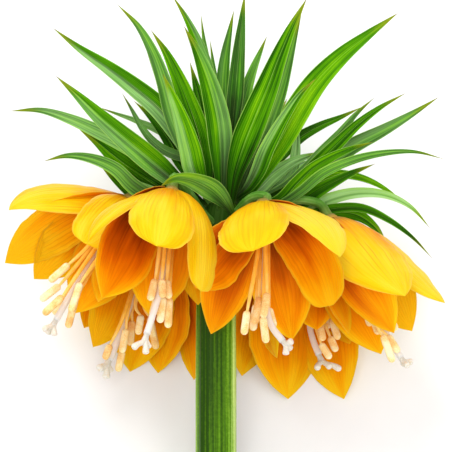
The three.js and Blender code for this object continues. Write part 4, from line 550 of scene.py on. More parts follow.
def leaf_material(name, dark, deep, mid, bright, rib, bloom_and_painted_sheen, gloss):
    m = Mat(name)
    seed = m.math("MULTIPLY", m.tone, 37.0)
    broad = m.noise(m.vec(m.math("MULTIPLY", m.x, 3.2), m.math("MULTIPLY", m.y, 1.1), seed), 1.6, 2.0, 0.45)
    bands = m.noise(m.vec(m.math("MULTIPLY", m.x, 9.5), m.math("MULTIPLY", m.y, 0.55), m.math("ADD", seed, 9.0)), 1.0, 1.0, 0.4)
    fine = m.noise(m.vec(m.math("MULTIPLY", m.x, 30.0), m.math("MULTIPLY", m.y, 0.9), seed), 1.0, 3.0, 0.55)
    lines = m.ridge(13, 0.012, 2.0)
    patch = m.noise(m.co, 55.0, 2.0, 0.5)
    f = m.math("ADD", m.range(broad, 0.36, 0.66, -0.18, 0.18), m.tone)
    f = m.math("ADD", f, m.range(bands, 0.34, 0.66, -0.11, 0.11))
    f = m.math("ADD", f, m.range(fine, 0.3, 0.7, -0.055, 0.055))
    f = m.math("ADD", f, m.range(patch, 0.35, 0.65, -0.07, 0.07))
    f = m.math("ADD", f, m.math("MULTIPLY", m.math("SUBTRACT", lines, 0.5), 0.06))
    # darker green towards the foot of each blade: painted shade where the leaf bases lie deep in the crown
    f = m.math("ADD", f, m.range(m.y, 0.02, 0.50, -0.50, 0.0))
    c = m.ramp(f, [(0.0, dark), (0.3, deep), (0.62, mid), (1.0, bright)])
    # the waxy bloom, partly the leaf's own bloom and partly painted sheen standing in for soft gloss highlights: over
    # the whole blade from 0 to 1, on its left half below 0, on its right half above 1
    right = m.range(m.x, 0.40, 0.60)
    whole = m.math("MULTIPLY", m.math("MULTIPLY", m.two, m.math("GREATER_THAN", m.two, 0.0)), m.math("LESS_THAN", m.two, 1.001))
    lw = m.math("MULTIPLY", m.math("MAXIMUM", m.math("MULTIPLY", m.two, -1.0), 0.0), m.math("SUBTRACT", 1.0, right))
    rw = m.math("MULTIPLY", m.math("MAXIMUM", m.math("SUBTRACT", m.two, 1.001), 0.0), right)
    g = m.math("ADD", m.math("ADD", whole, lw), rw)
    cloud = m.noise(m.vec(m.math("MULTIPLY", m.x, 2.0), m.math("MULTIPLY", m.y, 2.6), seed), 1.3, 2.0)
    g = m.math("MULTIPLY", g, m.range(cloud, 0.25, 0.7, 0.45, 1.0), clamp=True)
    g = m.math("MULTIPLY", g, m.range(bands, 0.34, 0.62, 0.62, 1.0))
    g = m.math("MULTIPLY", g, m.math("MULTIPLY", m.range(m.y, 0.05, 0.35, 0.35, 1.0), m.range(m.y, 0.97, 0.80)))
    c = m.mix(g, c, m.ramp(m.math("ADD", f, 0.2), [(0.0, tuple(v * 0.5 for v in bloom_and_painted_sheen[:3]) + (1,)), (0.7, bloom_and_painted_sheen)]))
    side = m.math("ABSOLUTE", m.math("SUBTRACT", m.x, 0.5))
    rim = m.range(side, 0.468, 0.497)
    up = m.range(m.y, 0.08, 0.45, 0.15, 1.0)
    c = m.mix(m.math("MULTIPLY", m.math("MULTIPLY", rim, up), 0.6), c, rib)
    mid_line = m.range(side, 0.016, 0.005)
    c = m.mix(m.math("MULTIPLY", m.math("MULTIPLY", mid_line, up), m.range(cloud, 0.3, 0.7, 0.1, 0.6)), c, rib)
    c = m.mix(m.math("MULTIPLY", m.math("POWER", lines, 6.0), 0.07), c, rib)
    c = m.mix(m.range(m.y, 0.04, 0.0, 0.0, 0.15), c, srgb(150, 185, 90))
    tip = m.range(m.math("ADD", m.y, m.math("MULTIPLY", m.math("SUBTRACT", broad, 0.5), 0.14)), 0.84, 0.97)
    c = m.mix(m.math("MULTIPLY", tip, 0.8), c, srgb(162, 168, 36))
    c = m.mix(m.range(m.y, 0.972, 0.998, 0.0, 0.85), c, srgb(134, 92, 40))
    h = m.math("ADD", m.math("MULTIPLY", lines, 1.0), m.math("MULTIPLY", fine, 0.7))
    h = m.math("SUBTRACT", h, m.math("MULTIPLY", mid_line, 1.6))
    m.bump(h, 0.5, 0.00018)
    return m.finish(c, m.range(fine, 0.3, 0.7, gloss - 0.05, gloss + 0.08), 0.16, sub=0.10, radius=(0.4, 1.0, 0.1), scale=0.0012, tint=(0.40, 0.70, 0.06, 1))


def petal_material(name, inside):
    m = Mat(name)
    seed = m.math("MULTIPLY", m.two, 53.0)
    side = m.math("MULTIPLY", m.math("ABSOLUTE", m.math("SUBTRACT", m.x, 0.5)), 2.0)
    broad = m.noise(m.vec(m.math("MULTIPLY", m.x, 2.4), m.math("MULTIPLY", m.y, 1.4), seed), 1.5, 2.0, 0.5)
    fine = m.noise(m.vec(m.math("MULTIPLY", m.x, 34.0), m.math("MULTIPLY", m.y, 1.6), seed), 1.0, 3.0, 0.6)
    veins = m.ridge(15, 0.05, 2.4, 3.0)
    thin = m.math("POWER", veins, 9.0)
    where = m.range(m.noise(m.vec(m.math("MULTIPLY", m.x, 7.0), m.math("MULTIPLY", m.y, 3.2), m.math("ADD", seed, 5.0)), 1.0, 2.0), 0.40, 0.62)
    if inside:
        # dark orange-brown at the foot, brightening to yellow at the tip: partly the petal's own colour, partly
        # painted shade deep inside the bell
        f = m.math("ADD", m.y, m.range(broad, 0.3, 0.7, -0.10, 0.10))
        f = m.math("ADD", f, m.math("MULTIPLY", m.math("SUBTRACT", m.tone, 0.5), 0.9))
        f = m.math("ADD", f, m.math("MULTIPLY", m.math("POWER", side, 3.0), 0.30))
        f = m.math("ADD", f, m.range(fine, 0.3, 0.7, -0.05, 0.05))
        c = m.ramp(f, [(0.0, srgb(88, 32, 0, 1)), (0.19, srgb(160, 64, 0, 1)), (0.42, srgb(214, 104, 0, 1)), (0.65, srgb(245, 146, 2, 1)), (0.86, srgb(255, 176, 8, 1)), (1.0, srgb(255, 196, 22, 1))])
        c = m.mix(m.math("MULTIPLY", m.math("MULTIPLY", thin, m.range(m.y, 0.95, 0.4, 0.25, 0.75)), 0.38), c, srgb(200, 96, 4))
        c = m.mix(m.range(side, 0.90, 0.995, 0.0, 0.7), c, srgb(255, 196, 40))
        # the drop of nectar at the foot of each petal, in its dark ring
        dx = m.math("MULTIPLY", m.math("SUBTRACT", m.x, 0.5), 0.36)
        dy = m.math("SUBTRACT", m.y, 0.105)
        d = m.math("SQRT", m.math("ADD", m.math("MULTIPLY", dx, dx), m.math("MULTIPLY", dy, dy)))
        c = m.mix(m.range(d, 0.085, 0.060, 0.0, 0.8), c, srgb(92, 44, 22))
        c = m.mix(m.range(d, 0.052, 0.040), c, srgb(238, 236, 214))
        rough = 0.46
    else:
        f = m.math("ADD", m.range(m.y, 0.02, 0.62, 0.10, 0.72), m.range(broad, 0.3, 0.7, -0.20, 0.20))
        f = m.math("ADD", f, m.math("MULTIPLY", m.math("SUBTRACT", m.tone, 0.5), 0.8))
        f = m.math("ADD", f, m.range(fine, 0.3, 0.7, -0.10, 0.10))
        f = m.math("SUBTRACT", f, m.math("MULTIPLY", m.math("POWER", side, 2.0), 0.28))
        c = m.ramp(f, [(0.0, srgb(240, 142, 2)), (0.30, srgb(252, 178, 4)), (0.62, srgb(255, 205, 12)), (1.0, srgb(255, 220, 50))])
        c = m.mix(m.math("MULTIPLY", m.math("MULTIPLY", thin, where), m.range(m.y, 0.92, 0.45, 0.15, 0.75)), c, srgb(222, 140, 6))
        c = m.mix(m.range(m.math("ADD", m.y, m.math("MULTIPLY", m.math("SUBTRACT", fine, 0.5), 0.06)), 0.13, 0.015, 0.0, 0.75), c, srgb(168, 128, 62))
        c = m.mix(m.math("MULTIPLY", m.range(side, 0.86, 0.99), 0.4), c, srgb(255, 205, 84))
        rough = 0.42
    h = m.math("ADD", m.math("MULTIPLY", veins, 0.5), fine)
    m.bump(h, 0.45, 0.00022)
    return m.finish(c, rough, 0.16, sub=0.2, radius=(1.0, 0.5, 0.05), scale=0.0022, tint=(1.0, 0.75, 0.15, 1))


def stem_material(name):
    m = Mat(name)
    wig = m.noise(m.vec(m.math("MULTIPLY", m.x, 9.0), m.math("MULTIPLY", m.y, 1.6), 0.0), 1.0, 2.0)
    x = m.math("ADD", m.x, m.math("MULTIPLY", m.math("SUBTRACT", wig, 0.5), 0.012))
    ribs = m.math("ADD", m.math("MULTIPLY", m.math("SINE", m.math("MULTIPLY", x, 2 * math.pi * 26)), 0.5), 0.5)
    streak = m.noise(m.vec(m.math("MULTIPLY", m.x, 46.0), m.math("MULTIPLY", m.y, 2.2), 1.0), 1.0, 3.0, 0.6)
    wide = m.noise(m.vec(m.math("MULTIPLY", m.x, 12.0), m.math("MULTIPLY", m.y, 0.8), 4.0), 1.0, 2.0)
    speck = m.noise(m.co, 900.0, 2.0, 0.6)
    f = m.math("ADD", m.math("MULTIPLY", ribs, 0.13), m.range(streak, 0.3, 0.7, -0.04, 0.34))
    # painted light and shade round the stem: pale on one flank, darker beside it
    painted_side_light = m.math("COSINE", m.math("MULTIPLY", m.math("SUBTRACT", m.x, 0.95), 4 * math.pi))
    f = m.math("ADD", f, m.math("ADD", m.math("MULTIPLY", painted_side_light, 0.42), 0.05))
    f = m.math("ADD", f, m.range(wide, 0.3, 0.7, -0.14, 0.22))
    # darker towards the crown: painted shade where the stem runs under the bells and leaf bases
    f = m.math("ADD", f, m.range(m.y, 0.42, 0.74, 0.06, -0.12))
    f = m.math("ADD", f, m.range(m.y, 0.72, 0.86, 0.0, -0.50))
    f = m.math("ADD", f, m.range(speck, 0.35, 0.65, -0.05, 0.05))
    c = m.ramp(f, [(0.0, srgb(28, 62, 0, 1)), (0.33, srgb(72, 118, 4, 1)), (0.62, srgb(122, 168, 40, 1)), (1.0, srgb(190, 218, 120, 1))])
    m.bump(m.math("ADD", ribs, m.math("MULTIPLY", streak, 0.8)), 0.4, 0.0002)
    return m.finish(c, m.range(streak, 0.3, 0.7, 0.36, 0.5), 0.3, sub=0.05, radius=(0.4, 1.0, 0.2), scale=0.001, tint=(0.6, 0.9, 0.3, 1))


def pith_material(name):
    m = Mat(name)
    cell = m.t.nodes.new("ShaderNodeTexVoronoi")
    cell.inputs["Scale"].default_value = 1500.0
    m.t.links.new(m.co, cell.inputs["Vector"])
    d = cell.outputs["Distance"]
    n = m.noise(m.co, 420.0, 3.0)
    # y runs from the middle (0) to the skin (1)
    c = m.ramp(m.math("ADD", m.y, m.range(n, 0.3, 0.7, -0.06, 0.06)), [(0.0, srgb(206, 214, 160)), (0.62, srgb(196, 212, 146)), (0.80, srgb(150, 184, 92)), (0.93, srgb(96, 146, 48)), (1.0, srgb(66, 112, 24))])
    c = m.mix(m.range(d, 0.0, 0.6, 0.0, 0.3), c, srgb(232, 236, 200))
    m.bump(d, 0.6, 0.0004)
    return m.finish(c, 0.62, 0.35, sub=0.2, radius=(0.8, 1.0, 0.4), scale=0.001)


def stalk_material(name):
    m = Mat(name)
    lines = m.ridge(9, 0.05, 2.0)
    n = m.noise(m.co, 160.0, 3.0)
    f = m.math("ADD", m.math("MULTIPLY", lines, 0.25), m.range(n, 0.3, 0.7, 0.0, 0.6))
    c = m.ramp(f, [(0.0, srgb(62, 118, 28)), (0.5, srgb(96, 154, 52)), (1.0, srgb(150, 196, 104))])
    c = m.mix(m.range(m.y, 0.86, 1.0, 0.0, 0.55), c, srgb(132, 122, 58))
    m.bump(m.math("ADD", lines, n), 0.3, 0.0002)
    return m.finish(c, 0.42, 0.5, sub=0.1, radius=(0.5, 1.0, 0.2), scale=0.001, tint=(0.6, 0.9, 0.3, 1))


def base_material(name):
    """The small cap where the petals meet the stalk."""
    m = Mat(name)
    n = m.noise(m.co, 320.0, 3.0)
    c = m.ramp(m.math("ADD", m.y, m.range(n, 0.3, 0.7, -0.12, 0.12)), [(0.0, srgb(118, 128, 54)), (0.5, srgb(160, 132, 56)), (1.0, srgb(224, 164, 40))])
    m.bump(n, 0.3, 0.0002)
    return m.finish(c, 0.5, 0.4)


def filament_material(name):
    m = Mat(name)
    lines = m.ridge(4, 0.05, 2.0)
    n = m.noise(m.co, 260.0, 2.0)
    # deeper orange towards the foot, inside the bell: partly the filament's own colour, partly painted shade
    f = m.math("ADD", m.y, m.range(n, 0.3, 0.7, -0.08, 0.08))
    c = m.ramp(f, [(0.0, srgb(200, 112, 0, 1)), (0.35, srgb(236, 154, 20, 1)), (0.7, srgb(252, 192, 72, 1)), (1.0, srgb(255, 222, 140, 1))])
    c = m.mix(m.math("MULTIPLY", lines, 0.15), c, srgb(255, 216, 130))
    m.bump(lines, 0.3, 0.0001)
    return m.finish(c, 0.45, 0.2, sub=0.15, radius=(1.0, 0.7, 0.2), scale=0.001, tint=(1.0, 0.8, 0.4, 1))


def anther_material(name):
    m = Mat(name)
    grain = m.noise(m.co, 2600.0, 3.0, 0.6)
    big = m.noise(m.co, 240.0, 2.0)
    f = m.math("ADD", m.range(grain, 0.3, 0.7, -0.2, 0.2), m.range(big, 0.3, 0.7, 0.2, 0.8))
    f = m.math("ADD", f, m.math("MULTIPLY", m.math("SUBTRACT", m.tone, 0.5), 0.8))
    c = m.ramp(f, [(0.0, srgb(236, 172, 92, 1)), (0.5, srgb(252, 215, 143, 1)), (1.0, srgb(255, 240, 196, 1))])
    # the seam where each half opens
    groove = m.math("ABSOLUTE", m.math("SINE", m.math("MULTIPLY", m.x, 2 * math.pi)))
    c = m.mix(m.range(groove, 0.22, 0.05, 0.0, 0.5), c, srgb(214, 148, 80))
    m.bump(grain, 0.8, 0.00025)
    return m.finish(c, 0.75, 0.25, sub=0.15, radius=(1.0, 0.7, 0.4), scale=0.0008)


def pistil_material(name):
    m = Mat(name)
    n = m.noise(m.co, 300.0, 3.0)
    lines = m.ridge(3, 0.0)
    f = m.math("ADD", m.y, m.range(n, 0.3, 0.7, -0.06, 0.06))
    c = m.ramp(f, [(0.0, srgb(206, 204, 120)), (0.18, srgb(246, 206, 140)), (0.45, srgb(252, 226, 190)), (0.72, srgb(253, 240, 226)), (1.0, srgb(253, 246, 238))])
    m.bump(m.math("ADD", n, m.math("MULTIPLY", lines, 0.5)), 0.3, 0.00015)
    return m.finish(c, 0.4, 0.45, sub=0.3, radius=(1.0, 0.8, 0.6), scale=0.0012)


def stigma_material(name):
    m = Mat(name)
    grain = m.noise(m.co, 2200.0, 3.0, 0.6)
    c = m.ramp(m.range(grain, 0.3, 0.7), [(0.0, srgb(240, 226, 200)), (1.0, srgb(254, 250, 240))])
    m.bump(grain, 0.7, 0.0002)
    return m.finish(c, 0.6, 0.35, sub=0.3, radius=(1.0, 0.8, 0.6), scale=0.0012)


LEAF_FACE = leaf_material("leaf_face", srgb(6, 40, 0, 1), srgb(28, 88, 0, 1), srgb(72, 142, 0, 1), srgb(134, 194, 10, 1), srgb(176, 216, 104, 1), srgb(172, 214, 142, 1), 0.40)
LEAF_BACK = leaf_material("leaf_back", srgb(16, 58, 8, 1), srgb(52, 108, 22, 1), srgb(96, 154, 44, 1), srgb(140, 188, 84, 1), srgb(180, 214, 130, 1), srgb(160, 204, 140, 1), 0.46)
PETAL_OUT = petal_material("petal_outside", False)
PETAL_IN = petal_material("petal_inside", True)
STEM_SKIN = stem_material("stem_skin")
PITH = pith_material("stem_cut")
STALK = stalk_material("flower_stalk")
BASE = base_material("petal_base")
FILAMENT = filament_material("filament")
ANTHER = anther_material("anther")
PISTIL = pistil_material("pistil")
STIGMA = stigma_material("stigma")


# ------------------------------------------------------------------ stem
def make_stem():
    b = Build()
    line = np.array([c for c, _ in STEM], float)
    radii = np.array([r for _, r in STEM], float)
    seg = np.linalg.norm(np.diff(line, axis=0), axis=1)
    cum = np.concatenate([[0], np.cumsum(seg)])
    ts = np.concatenate([np.linspace(0, 0.02, 4)[:-1], np.linspace(0.02, 1, 72)])
    curve = smooth(line, 16)
    pos, tan, length = arc(curve, ts)
    r = np.interp(ts * cum[-1], cum, radii)
    n = 156
    ang = np.linspace(0, 2 * math.pi, n, endpoint=False)
    s = np.array([1.0, 0, 0])
    verts = []
    for i, t in enumerate(ts):
        s = unit(s - tan[i] * np.dot(s, tan[i]))
        w = np.cross(tan[i], s)
        a = ang + 0.006 * wave(5, ts[i] + 0 * ang)
        rib = 0.013 * np.sin(13 * a + 0.8 * np.sin(2 * a)) + 0.005 * np.sin(26 * a + 1.0) + 0.006 * np.sin(5 * a + 4 * t)
        rib = rib - 0.02
        fade = min(1, (1 - t) / 0.2)
        q = r[i] * (1 + rib * fade + 0.006 * wave(7, t + 0 * ang))
        if t < 0.004:
            q = q * (0.985 + 0.015 * min(1, t / 0.004))
        verts.append(pos[i] + q[:, None] * (np.cos(ang)[:, None] * s + np.sin(ang)[:, None] * w))
    m = len(ts)
    faces, uvs = [], []
    for i in range(m - 1):
        for j in range(n):
            j2 = (j + 1) % n
            faces.append([i * n + j, i * n + j2, (i + 1) * n + j2, (i + 1) * n + j])
            uvs.append([(j / n, ts[i]), ((j + 1) / n, ts[i]), ((j + 1) / n, ts[i + 1]), (j / n, ts[i + 1])])
    b.add(np.vstack(verts), faces, uvs, (0.5, 0), 0)
    # growing tip, closed inside the leaves
    ring = verts[-1]
    tipc = ring.mean(0) + tan[-1] * 0.5
    b.add(np.vstack([ring, tipc]), [[j, (j + 1) % n, n] for j in range(n)], [[(j / n, 1), ((j + 1) / n, 1), (0.5, 1)] for j in range(n)], (0.5, 0), 0)
    # cut end: skin, then pith that sinks a little, with a slight chew from the knife
    ring = verts[0]
    c0 = ring.mean(0)
    rows = [ring]
    shares = [0.985, 0.95, 0.90, 0.82, 0.72, 0.60, 0.46, 0.32, 0.18, 0.08]
    for k, q in enumerate(shares):
        row = c0 + (ring - c0) * q
        dip = 0.02 if q > 0.93 else 0.10 + 0.65 * (1 - q / 0.93) ** 0.7
        dip = dip + 0.05 * np.sin(7 * ang + 3 * k) * (q < 0.93) + 0.03 * np.sin(17 * ang + k) * (q < 0.93)
        rows.append(row + tan[0] * np.reshape(dip * np.ones(n), (n, 1)))
    cv = np.vstack(rows + [(c0 + tan[0] * 0.8)[None]])
    faces, uvs = [], []
    sh = [1.0] + shares
    for k in range(len(rows) - 1):
        for j in range(n):
            j2 = (j + 1) % n
            faces.append([k * n + j2, k * n + j, (k + 1) * n + j, (k + 1) * n + j2])
            uvs.append([((j + 1) / n, sh[k]), (j / n, sh[k]), (j / n, sh[k + 1]), ((j + 1) / n, sh[k + 1])])
    k = len(rows) - 1
    for j in range(n):
        faces.append([k * n + (j + 1) % n, k * n + j, (k + 1) * n])
        uvs.append([(0, sh[k])] * 2 + [(0, 0)])
    b.add(cv, faces, uvs, (0.5, 0), 1)
    return b.obj("stem_detail", "stem", [STEM_SKIN, PITH])


# ------------------------------------------------------------------ leaves
def add_leaf(b, seed, half, o, line, back=2.2):
    pts = np.array(line, float)
    curve = smooth(pts)
    # the foot runs a little way back, into what carries the leaf
    t0 = unit(curve[0] - curve[3])
    curve = np.vstack([[curve[0] + t0 * back * k for k in (1, 0.5)], curve])
    nu, nv = 58, 13
    us = 1 - (1 - np.linspace(0, 1, nu)) ** 1.25
    vs = np.array([-1, -0.93, -0.76, -0.54, -0.30, -0.12, 0, 0.12, 0.30, 0.54, 0.76, 0.93, 1])
    pos, tan, length = arc(curve, us)
    if o.get("flat"):
        s0 = unit(np.array([1.0, 0, 0]) - tan * tan[:, :1])
    else:
        s0 = unit(np.cross(tan, np.array([0, 0, 1.0])))
    n0 = np.cross(s0, tan)
    roll = np.radians(o.get("roll", 0.0) + 5.0 * wave(seed, us, 2))[:, None]
    side = s0 * np.cos(roll) + n0 * np.sin(roll)
    face = np.cross(side, tan)
    pk, b0 = o.get("pk", 0.38), o.get("b0", 0.30)
    a = np.clip(us / pk, 0, 1)
    w = np.where(us < pk, b0 + (1 - b0) * a * a * (3 - 2 * a), 1 - np.clip((us - pk) / (1 - pk), 0, 1) ** 1.6)
    w = half * o.get("w", 1.0) * w * (1 + 0.015 * wave(seed + 1, us, 4))
    w[-1] = 0.04
    fold = math.radians(o.get("fold", 10))
    # the fold is round at the midrib, and opens out towards the tip
    prof = np.sqrt(vs ** 2 + 0.016) - math.sqrt(0.016)
    rise = np.outer(w * math.sin(fold) * (1.05 - 0.25 * us), prof)
    # each half blade bellies a little
    belly = np.outer(w * (-0.05 + 0.03 * wave(seed + 2, us, 2)), np.sin(math.pi * np.abs(vs)))
    cord = np.outer(w, 0.012 * np.sin(vs * math.pi * 9.0))
    edge = np.outer(0.05 * w * wave(seed + 3, us * 1.5, 4), np.clip(vs, 0, 1) ** 2) + np.outer(0.05 * w * wave(seed + 4, us * 1.5, 4), np.clip(-vs, 0, 1) ** 2)
    h = rise + belly + cord + edge
    g = pos[:, None] + side[:, None] * (np.outer(w, vs) * math.cos(fold))[..., None] + face[:, None] * h[..., None]
    thick = np.outer(0.62 * (0.5 + 0.5 * np.clip((1 - us) / 0.5, 0, 1)), 0.22 + 0.78 * (1 - np.abs(vs) ** 1.6))
    thick[:, 5:8] += 0.10 * (1 - us)[:, None]
    thick[-1] = 0.05
    sheet(b, g, np.broadcast_to(face[:, None], g.shape), thick, us, vs, (o.get("tone", 0.5), o.get("blue", 0.0)), (0, 1))


def make_leaves():
    for k, (node, half, o, line) in enumerate(LEAVES):
        b = Build()
        add_leaf(b, 100 + 7 * k, half, o, line)
        b.obj(node + "_blade", node, [LEAF_FACE, LEAF_BACK])
    b = Build()
    for k, (_, half, o, line) in enumerate(TUFT):
        add_leaf(b, 500 + 7 * k, half, o, line, back=3.0)
    bud = np.array(BUD, float)
    tube(b, np.array([bud[0] - unit(bud[1] - bud[0]) * 0.5, bud[0], bud.mean(0), bud[1]]), lambda t: float(np.interp(t, [0, 0.1, 0.5, 0.9, 1], [1.4, 1.6, 2.2, 1.0, 0.3])), 18, 16, (0.5, 0.2), 1)
    b.obj("inner_leaf_tuft_blades", "inner_leaf_tuft", [LEAF_FACE, LEAF_BACK])


# ------------------------------------------------------------------ flowers
PETAL_WIDTH = [(0, 0.26), (0.08, 0.45), (0.2, 0.66), (0.36, 0.88), (0.5, 0.98), (0.6, 1.0), (0.72, 0.92), (0.83, 0.70), (0.91, 0.43), (0.96, 0.21), (1, 0)]
BLUNT_WIDTH = [(0, 0.28), (0.08, 0.54), (0.2, 0.82), (0.36, 1.0), (0.52, 1.04), (0.68, 1.02), (0.82, 0.95), (0.92, 0.78), (0.97, 0.54), (1, 0)]
LATE_WIDTH = [(0, 0.24), (0.08, 0.40), (0.2, 0.56), (0.36, 0.76), (0.52, 0.95), (0.66, 1.06), (0.8, 1.02), (0.9, 0.84), (0.96, 0.56), (1, 0)]
BROAD_WIDTH = [(0, 0.28), (0.08, 0.58), (0.2, 0.86), (0.36, 1.0), (0.5, 1.02), (0.62, 0.95), (0.74, 0.79), (0.84, 0.57), (0.92, 0.34), (0.97, 0.15), (1, 0)]


def add_petal(b, seed, base, axis, tip, half, o):
    half = half * o.get("w", 1.0)
    nu, nv = 42, 23
    us = np.linspace(0, 1, nu) ** 0.9
    us = 1 - (1 - us) ** 1.15
    vs = np.sin(np.linspace(-1, 1, nv) * math.pi / 2 * 0.82) / math.sin(math.pi / 2 * 0.82)
    out = lambda v: unit(v - axis * np.dot(v, axis))
    u = out(np.array(o["u"], float)) if "u" in o else out(tip - base)
    p0 = base + u * 1.6 + axis * 0.6
    tip = tip + np.array(o.get("reach", (0.0, 0.0, 0.0)))
    L = np.linalg.norm(tip - p0)
    k1, al, k2, fl = o.get("k1", 0.34), math.radians(o.get("al", 18)), o.get("k2", 0.38), o.get("fl", 0.05)
    p1 = p0 + L * k1 * (u * math.cos(al) + axis * math.sin(al))
    p2 = tip - L * k2 * unit(axis + u * fl)
    if "m" in o:
        p1, p2 = p1 + np.array(o["m"]), p2 + np.array(o["m"])
    t = np.linspace(0, 1, 64)[:, None]
    curve = (1 - t) ** 3 * p0 + 3 * (1 - t) ** 2 * t * p1 + 3 * (1 - t) * t * t * p2 + t ** 3 * tip
    pos, tan, length = arc(curve, us)
    s0 = np.cross(axis, u)
    s0 = unit(s0 - tan * (tan @ s0)[:, None])
    f0 = np.cross(s0, tan)
    f0 = f0 * (np.sign((f0 @ u).sum()) or 1)
    tw = np.radians(o.get("tw", 0.0) + o.get("tw1", 0.0) * us)[:, None]
    side = s0 * np.cos(tw) + f0 * np.sin(tw)
    face = f0 * np.cos(tw) - s0 * np.sin(tw)
    w = half * table(LATE_WIDTH if o.get("late") else BLUNT_WIDTH if o.get("blunt") else BROAD_WIDTH if o.get("broad") else PETAL_WIDTH, us)
    w[-1] = 0.12
    c = (o.get("cup", 0.30) * (1 - 0.55 * us) + o.get("tipcup", 0.0) * us)
    k = 1.25 * np.minimum(1, 2 * c + 0.2)
    lat = np.sin(np.outer(k, vs)) / np.sin(k)[:, None]
    frill = 1 + 0.030 * wave(seed, us * 3.0, 5, 0.8)
    frill2 = 1 + 0.030 * wave(seed + 1, us * 3.0, 5, 0.8)
    lat = np.where(vs[None] > 0, lat * frill[:, None], lat * frill2[:, None])
    off = -np.outer(w * c, vs ** 2)
    ripple = o.get("rip", 0.055)
    grow = np.clip(us * 1.6, 0, 1)
    r1 = np.outer(w * ripple * grow * wave(seed + 2, us * 1.4, 4, 0.7), np.clip(vs, 0, 1) ** 2)
    r2 = np.outer(w * ripple * grow * wave(seed + 3, us * 1.4, 4, 0.7), np.clip(-vs, 0, 1) ** 2)
    # a low keel down the middle and shallow pleats beside it
    pleat = np.outer(0.16 * np.sin(math.pi * np.clip(us, 0, 1)) ** 0.7, np.cos(vs * math.pi * 5.0) * (1 - vs ** 2))
    curl = -np.outer(w * o.get("curl", 0.0) * us ** 3, vs ** 2)
    h = off + r1 + r2 + pleat + curl
    g = pos[:, None] + side[:, None] * (w[:, None] * lat)[..., None] + face[:, None] * h[..., None]
    if o.get("skew"):
        g = g + tan[:, None] * np.outer(w * o["skew"], vs)[..., None]
    thick = np.outer(0.55 * (0.75 + 0.25 * (1 - us)), 0.25 + 0.75 * (1 - np.abs(vs) ** 2.0))
    thick[-1] = 0.08
    # flip gives both faces the inside colouring: painted shade on outer faces that lie in shadow
    sheet(b, g, np.broadcast_to(face[:, None], g.shape), thick, us, vs, (o.get("tone", 0.5), (seed % 17) / 17.0), (1, 1) if o.get("flip") else (0, 0) if o.get("outer") else (0, 1))


def lathe(b, base, axis, prof, n, mat, look=(0.5, 0)):
    ref = np.array([0, 0, 1.0]) if abs(axis[2]) < 0.9 else np.array([1.0, 0, 0])
    s = unit(np.cross(axis, ref))
    w = np.cross(axis, s)
    ang = np.linspace(0, 2 * math.pi, n, endpoint=False)
    verts = []
    for z, r in prof:
        verts.extend(base + axis * z + r * (np.cos(ang)[:, None] * s + np.sin(ang)[:, None] * w))
    m = len(prof)
    faces, uvs = [], []
    for i in range(m - 1):
        for j in range(n):
            j2 = (j + 1) % n
            faces.append([i * n + j, i * n + j2, (i + 1) * n + j2, (i + 1) * n + j])
            a0, a1 = i / (m - 1), (i + 1) / (m - 1)
            uvs.append([(j / n, a0), ((j + 1) / n, a0), ((j + 1) / n, a1), (j / n, a1)])
    for end, base_i in ((0, 0), (1, (m - 1) * n)):
        c = len(verts)
        verts.append(base + axis * prof[0 if end == 0 else -1][0])
        for j in range(n):
            j2 = (j + 1) % n
            faces.append([c, base_i + j2, base_i + j] if end == 0 else [c, base_i + j, base_i + j2])
            uvs.append([(0.5, float(end))] * 3)
    b.add(np.array(verts), faces, uvs, look, mat)


def add_anther(b, foot, tip, r, look, seed):
    """A long pollen sac in two halves, with round ends."""
    foot, tip = np.asarray(foot, float), np.asarray(tip, float)
    a = unit(tip - foot)
    L = np.linalg.norm(tip - foot)
    ref = np.array([0, 0, 1.0]) if abs(a[2]) < 0.9 else np.array([1.0, 0, 0])
    s = unit(np.cross(a, ref))
    w = np.cross(a, s)
    n, seg = 22, 18
    ang = np.linspace(0, 2 * math.pi, n, endpoint=False)
    verts = []
    ts = (1 - np.cos(np.linspace(0.06, math.pi - 0.02, seg))) / 2
    bend = 0.05 * L * math.sin(seed)
    for t in ts:
        z = t * L
        d0, d1 = z, L - z
        rr = r * min(1.0, math.sqrt(max(0, 1 - max(0, 1 - d0 / (r * 1.0)) ** 2))) * min(1.0, math.sqrt(max(0, 1 - max(0, 1 - d1 / (r * 1.1)) ** 2)))
        rr = max(rr, 0.05)
        prof = (0.90 + 0.13 * np.cos(2 * ang)) * (1 - 0.14 * np.exp(-((np.abs(np.sin(ang)) - 1) / 0.10) ** 2))
        c = foot + a * z + w * bend * math.sin(math.pi * t)
        verts.extend(c + (rr * prof)[:, None] * (np.cos(ang)[:, None] * s + np.sin(ang)[:, None] * w))
    faces, uvs = [], []
    for i in range(seg - 1):
        for j in range(n):
            j2 = (j + 1) % n
            faces.append([i * n + j, i * n + j2, (i + 1) * n + j2, (i + 1) * n + j])
            uvs.append([(j / n, ts[i]), ((j + 1) / n, ts[i]), ((j + 1) / n, ts[i + 1]), (j / n, ts[i + 1])])
    for end, base_i in ((0, 0), (1, (seg - 1) * n)):
        c = len(verts)
        verts.append(np.mean(verts[base_i:base_i + n], axis=0))
        for j in range(n):
            j2 = (j + 1) % n
            faces.append([c, base_i + j2, base_i + j] if end == 0 else [c, base_i + j, base_i + j2])
            uvs.append([(0.25, float(end))] * 3)
    b.add(np.array(verts), faces, uvs, look, 1)


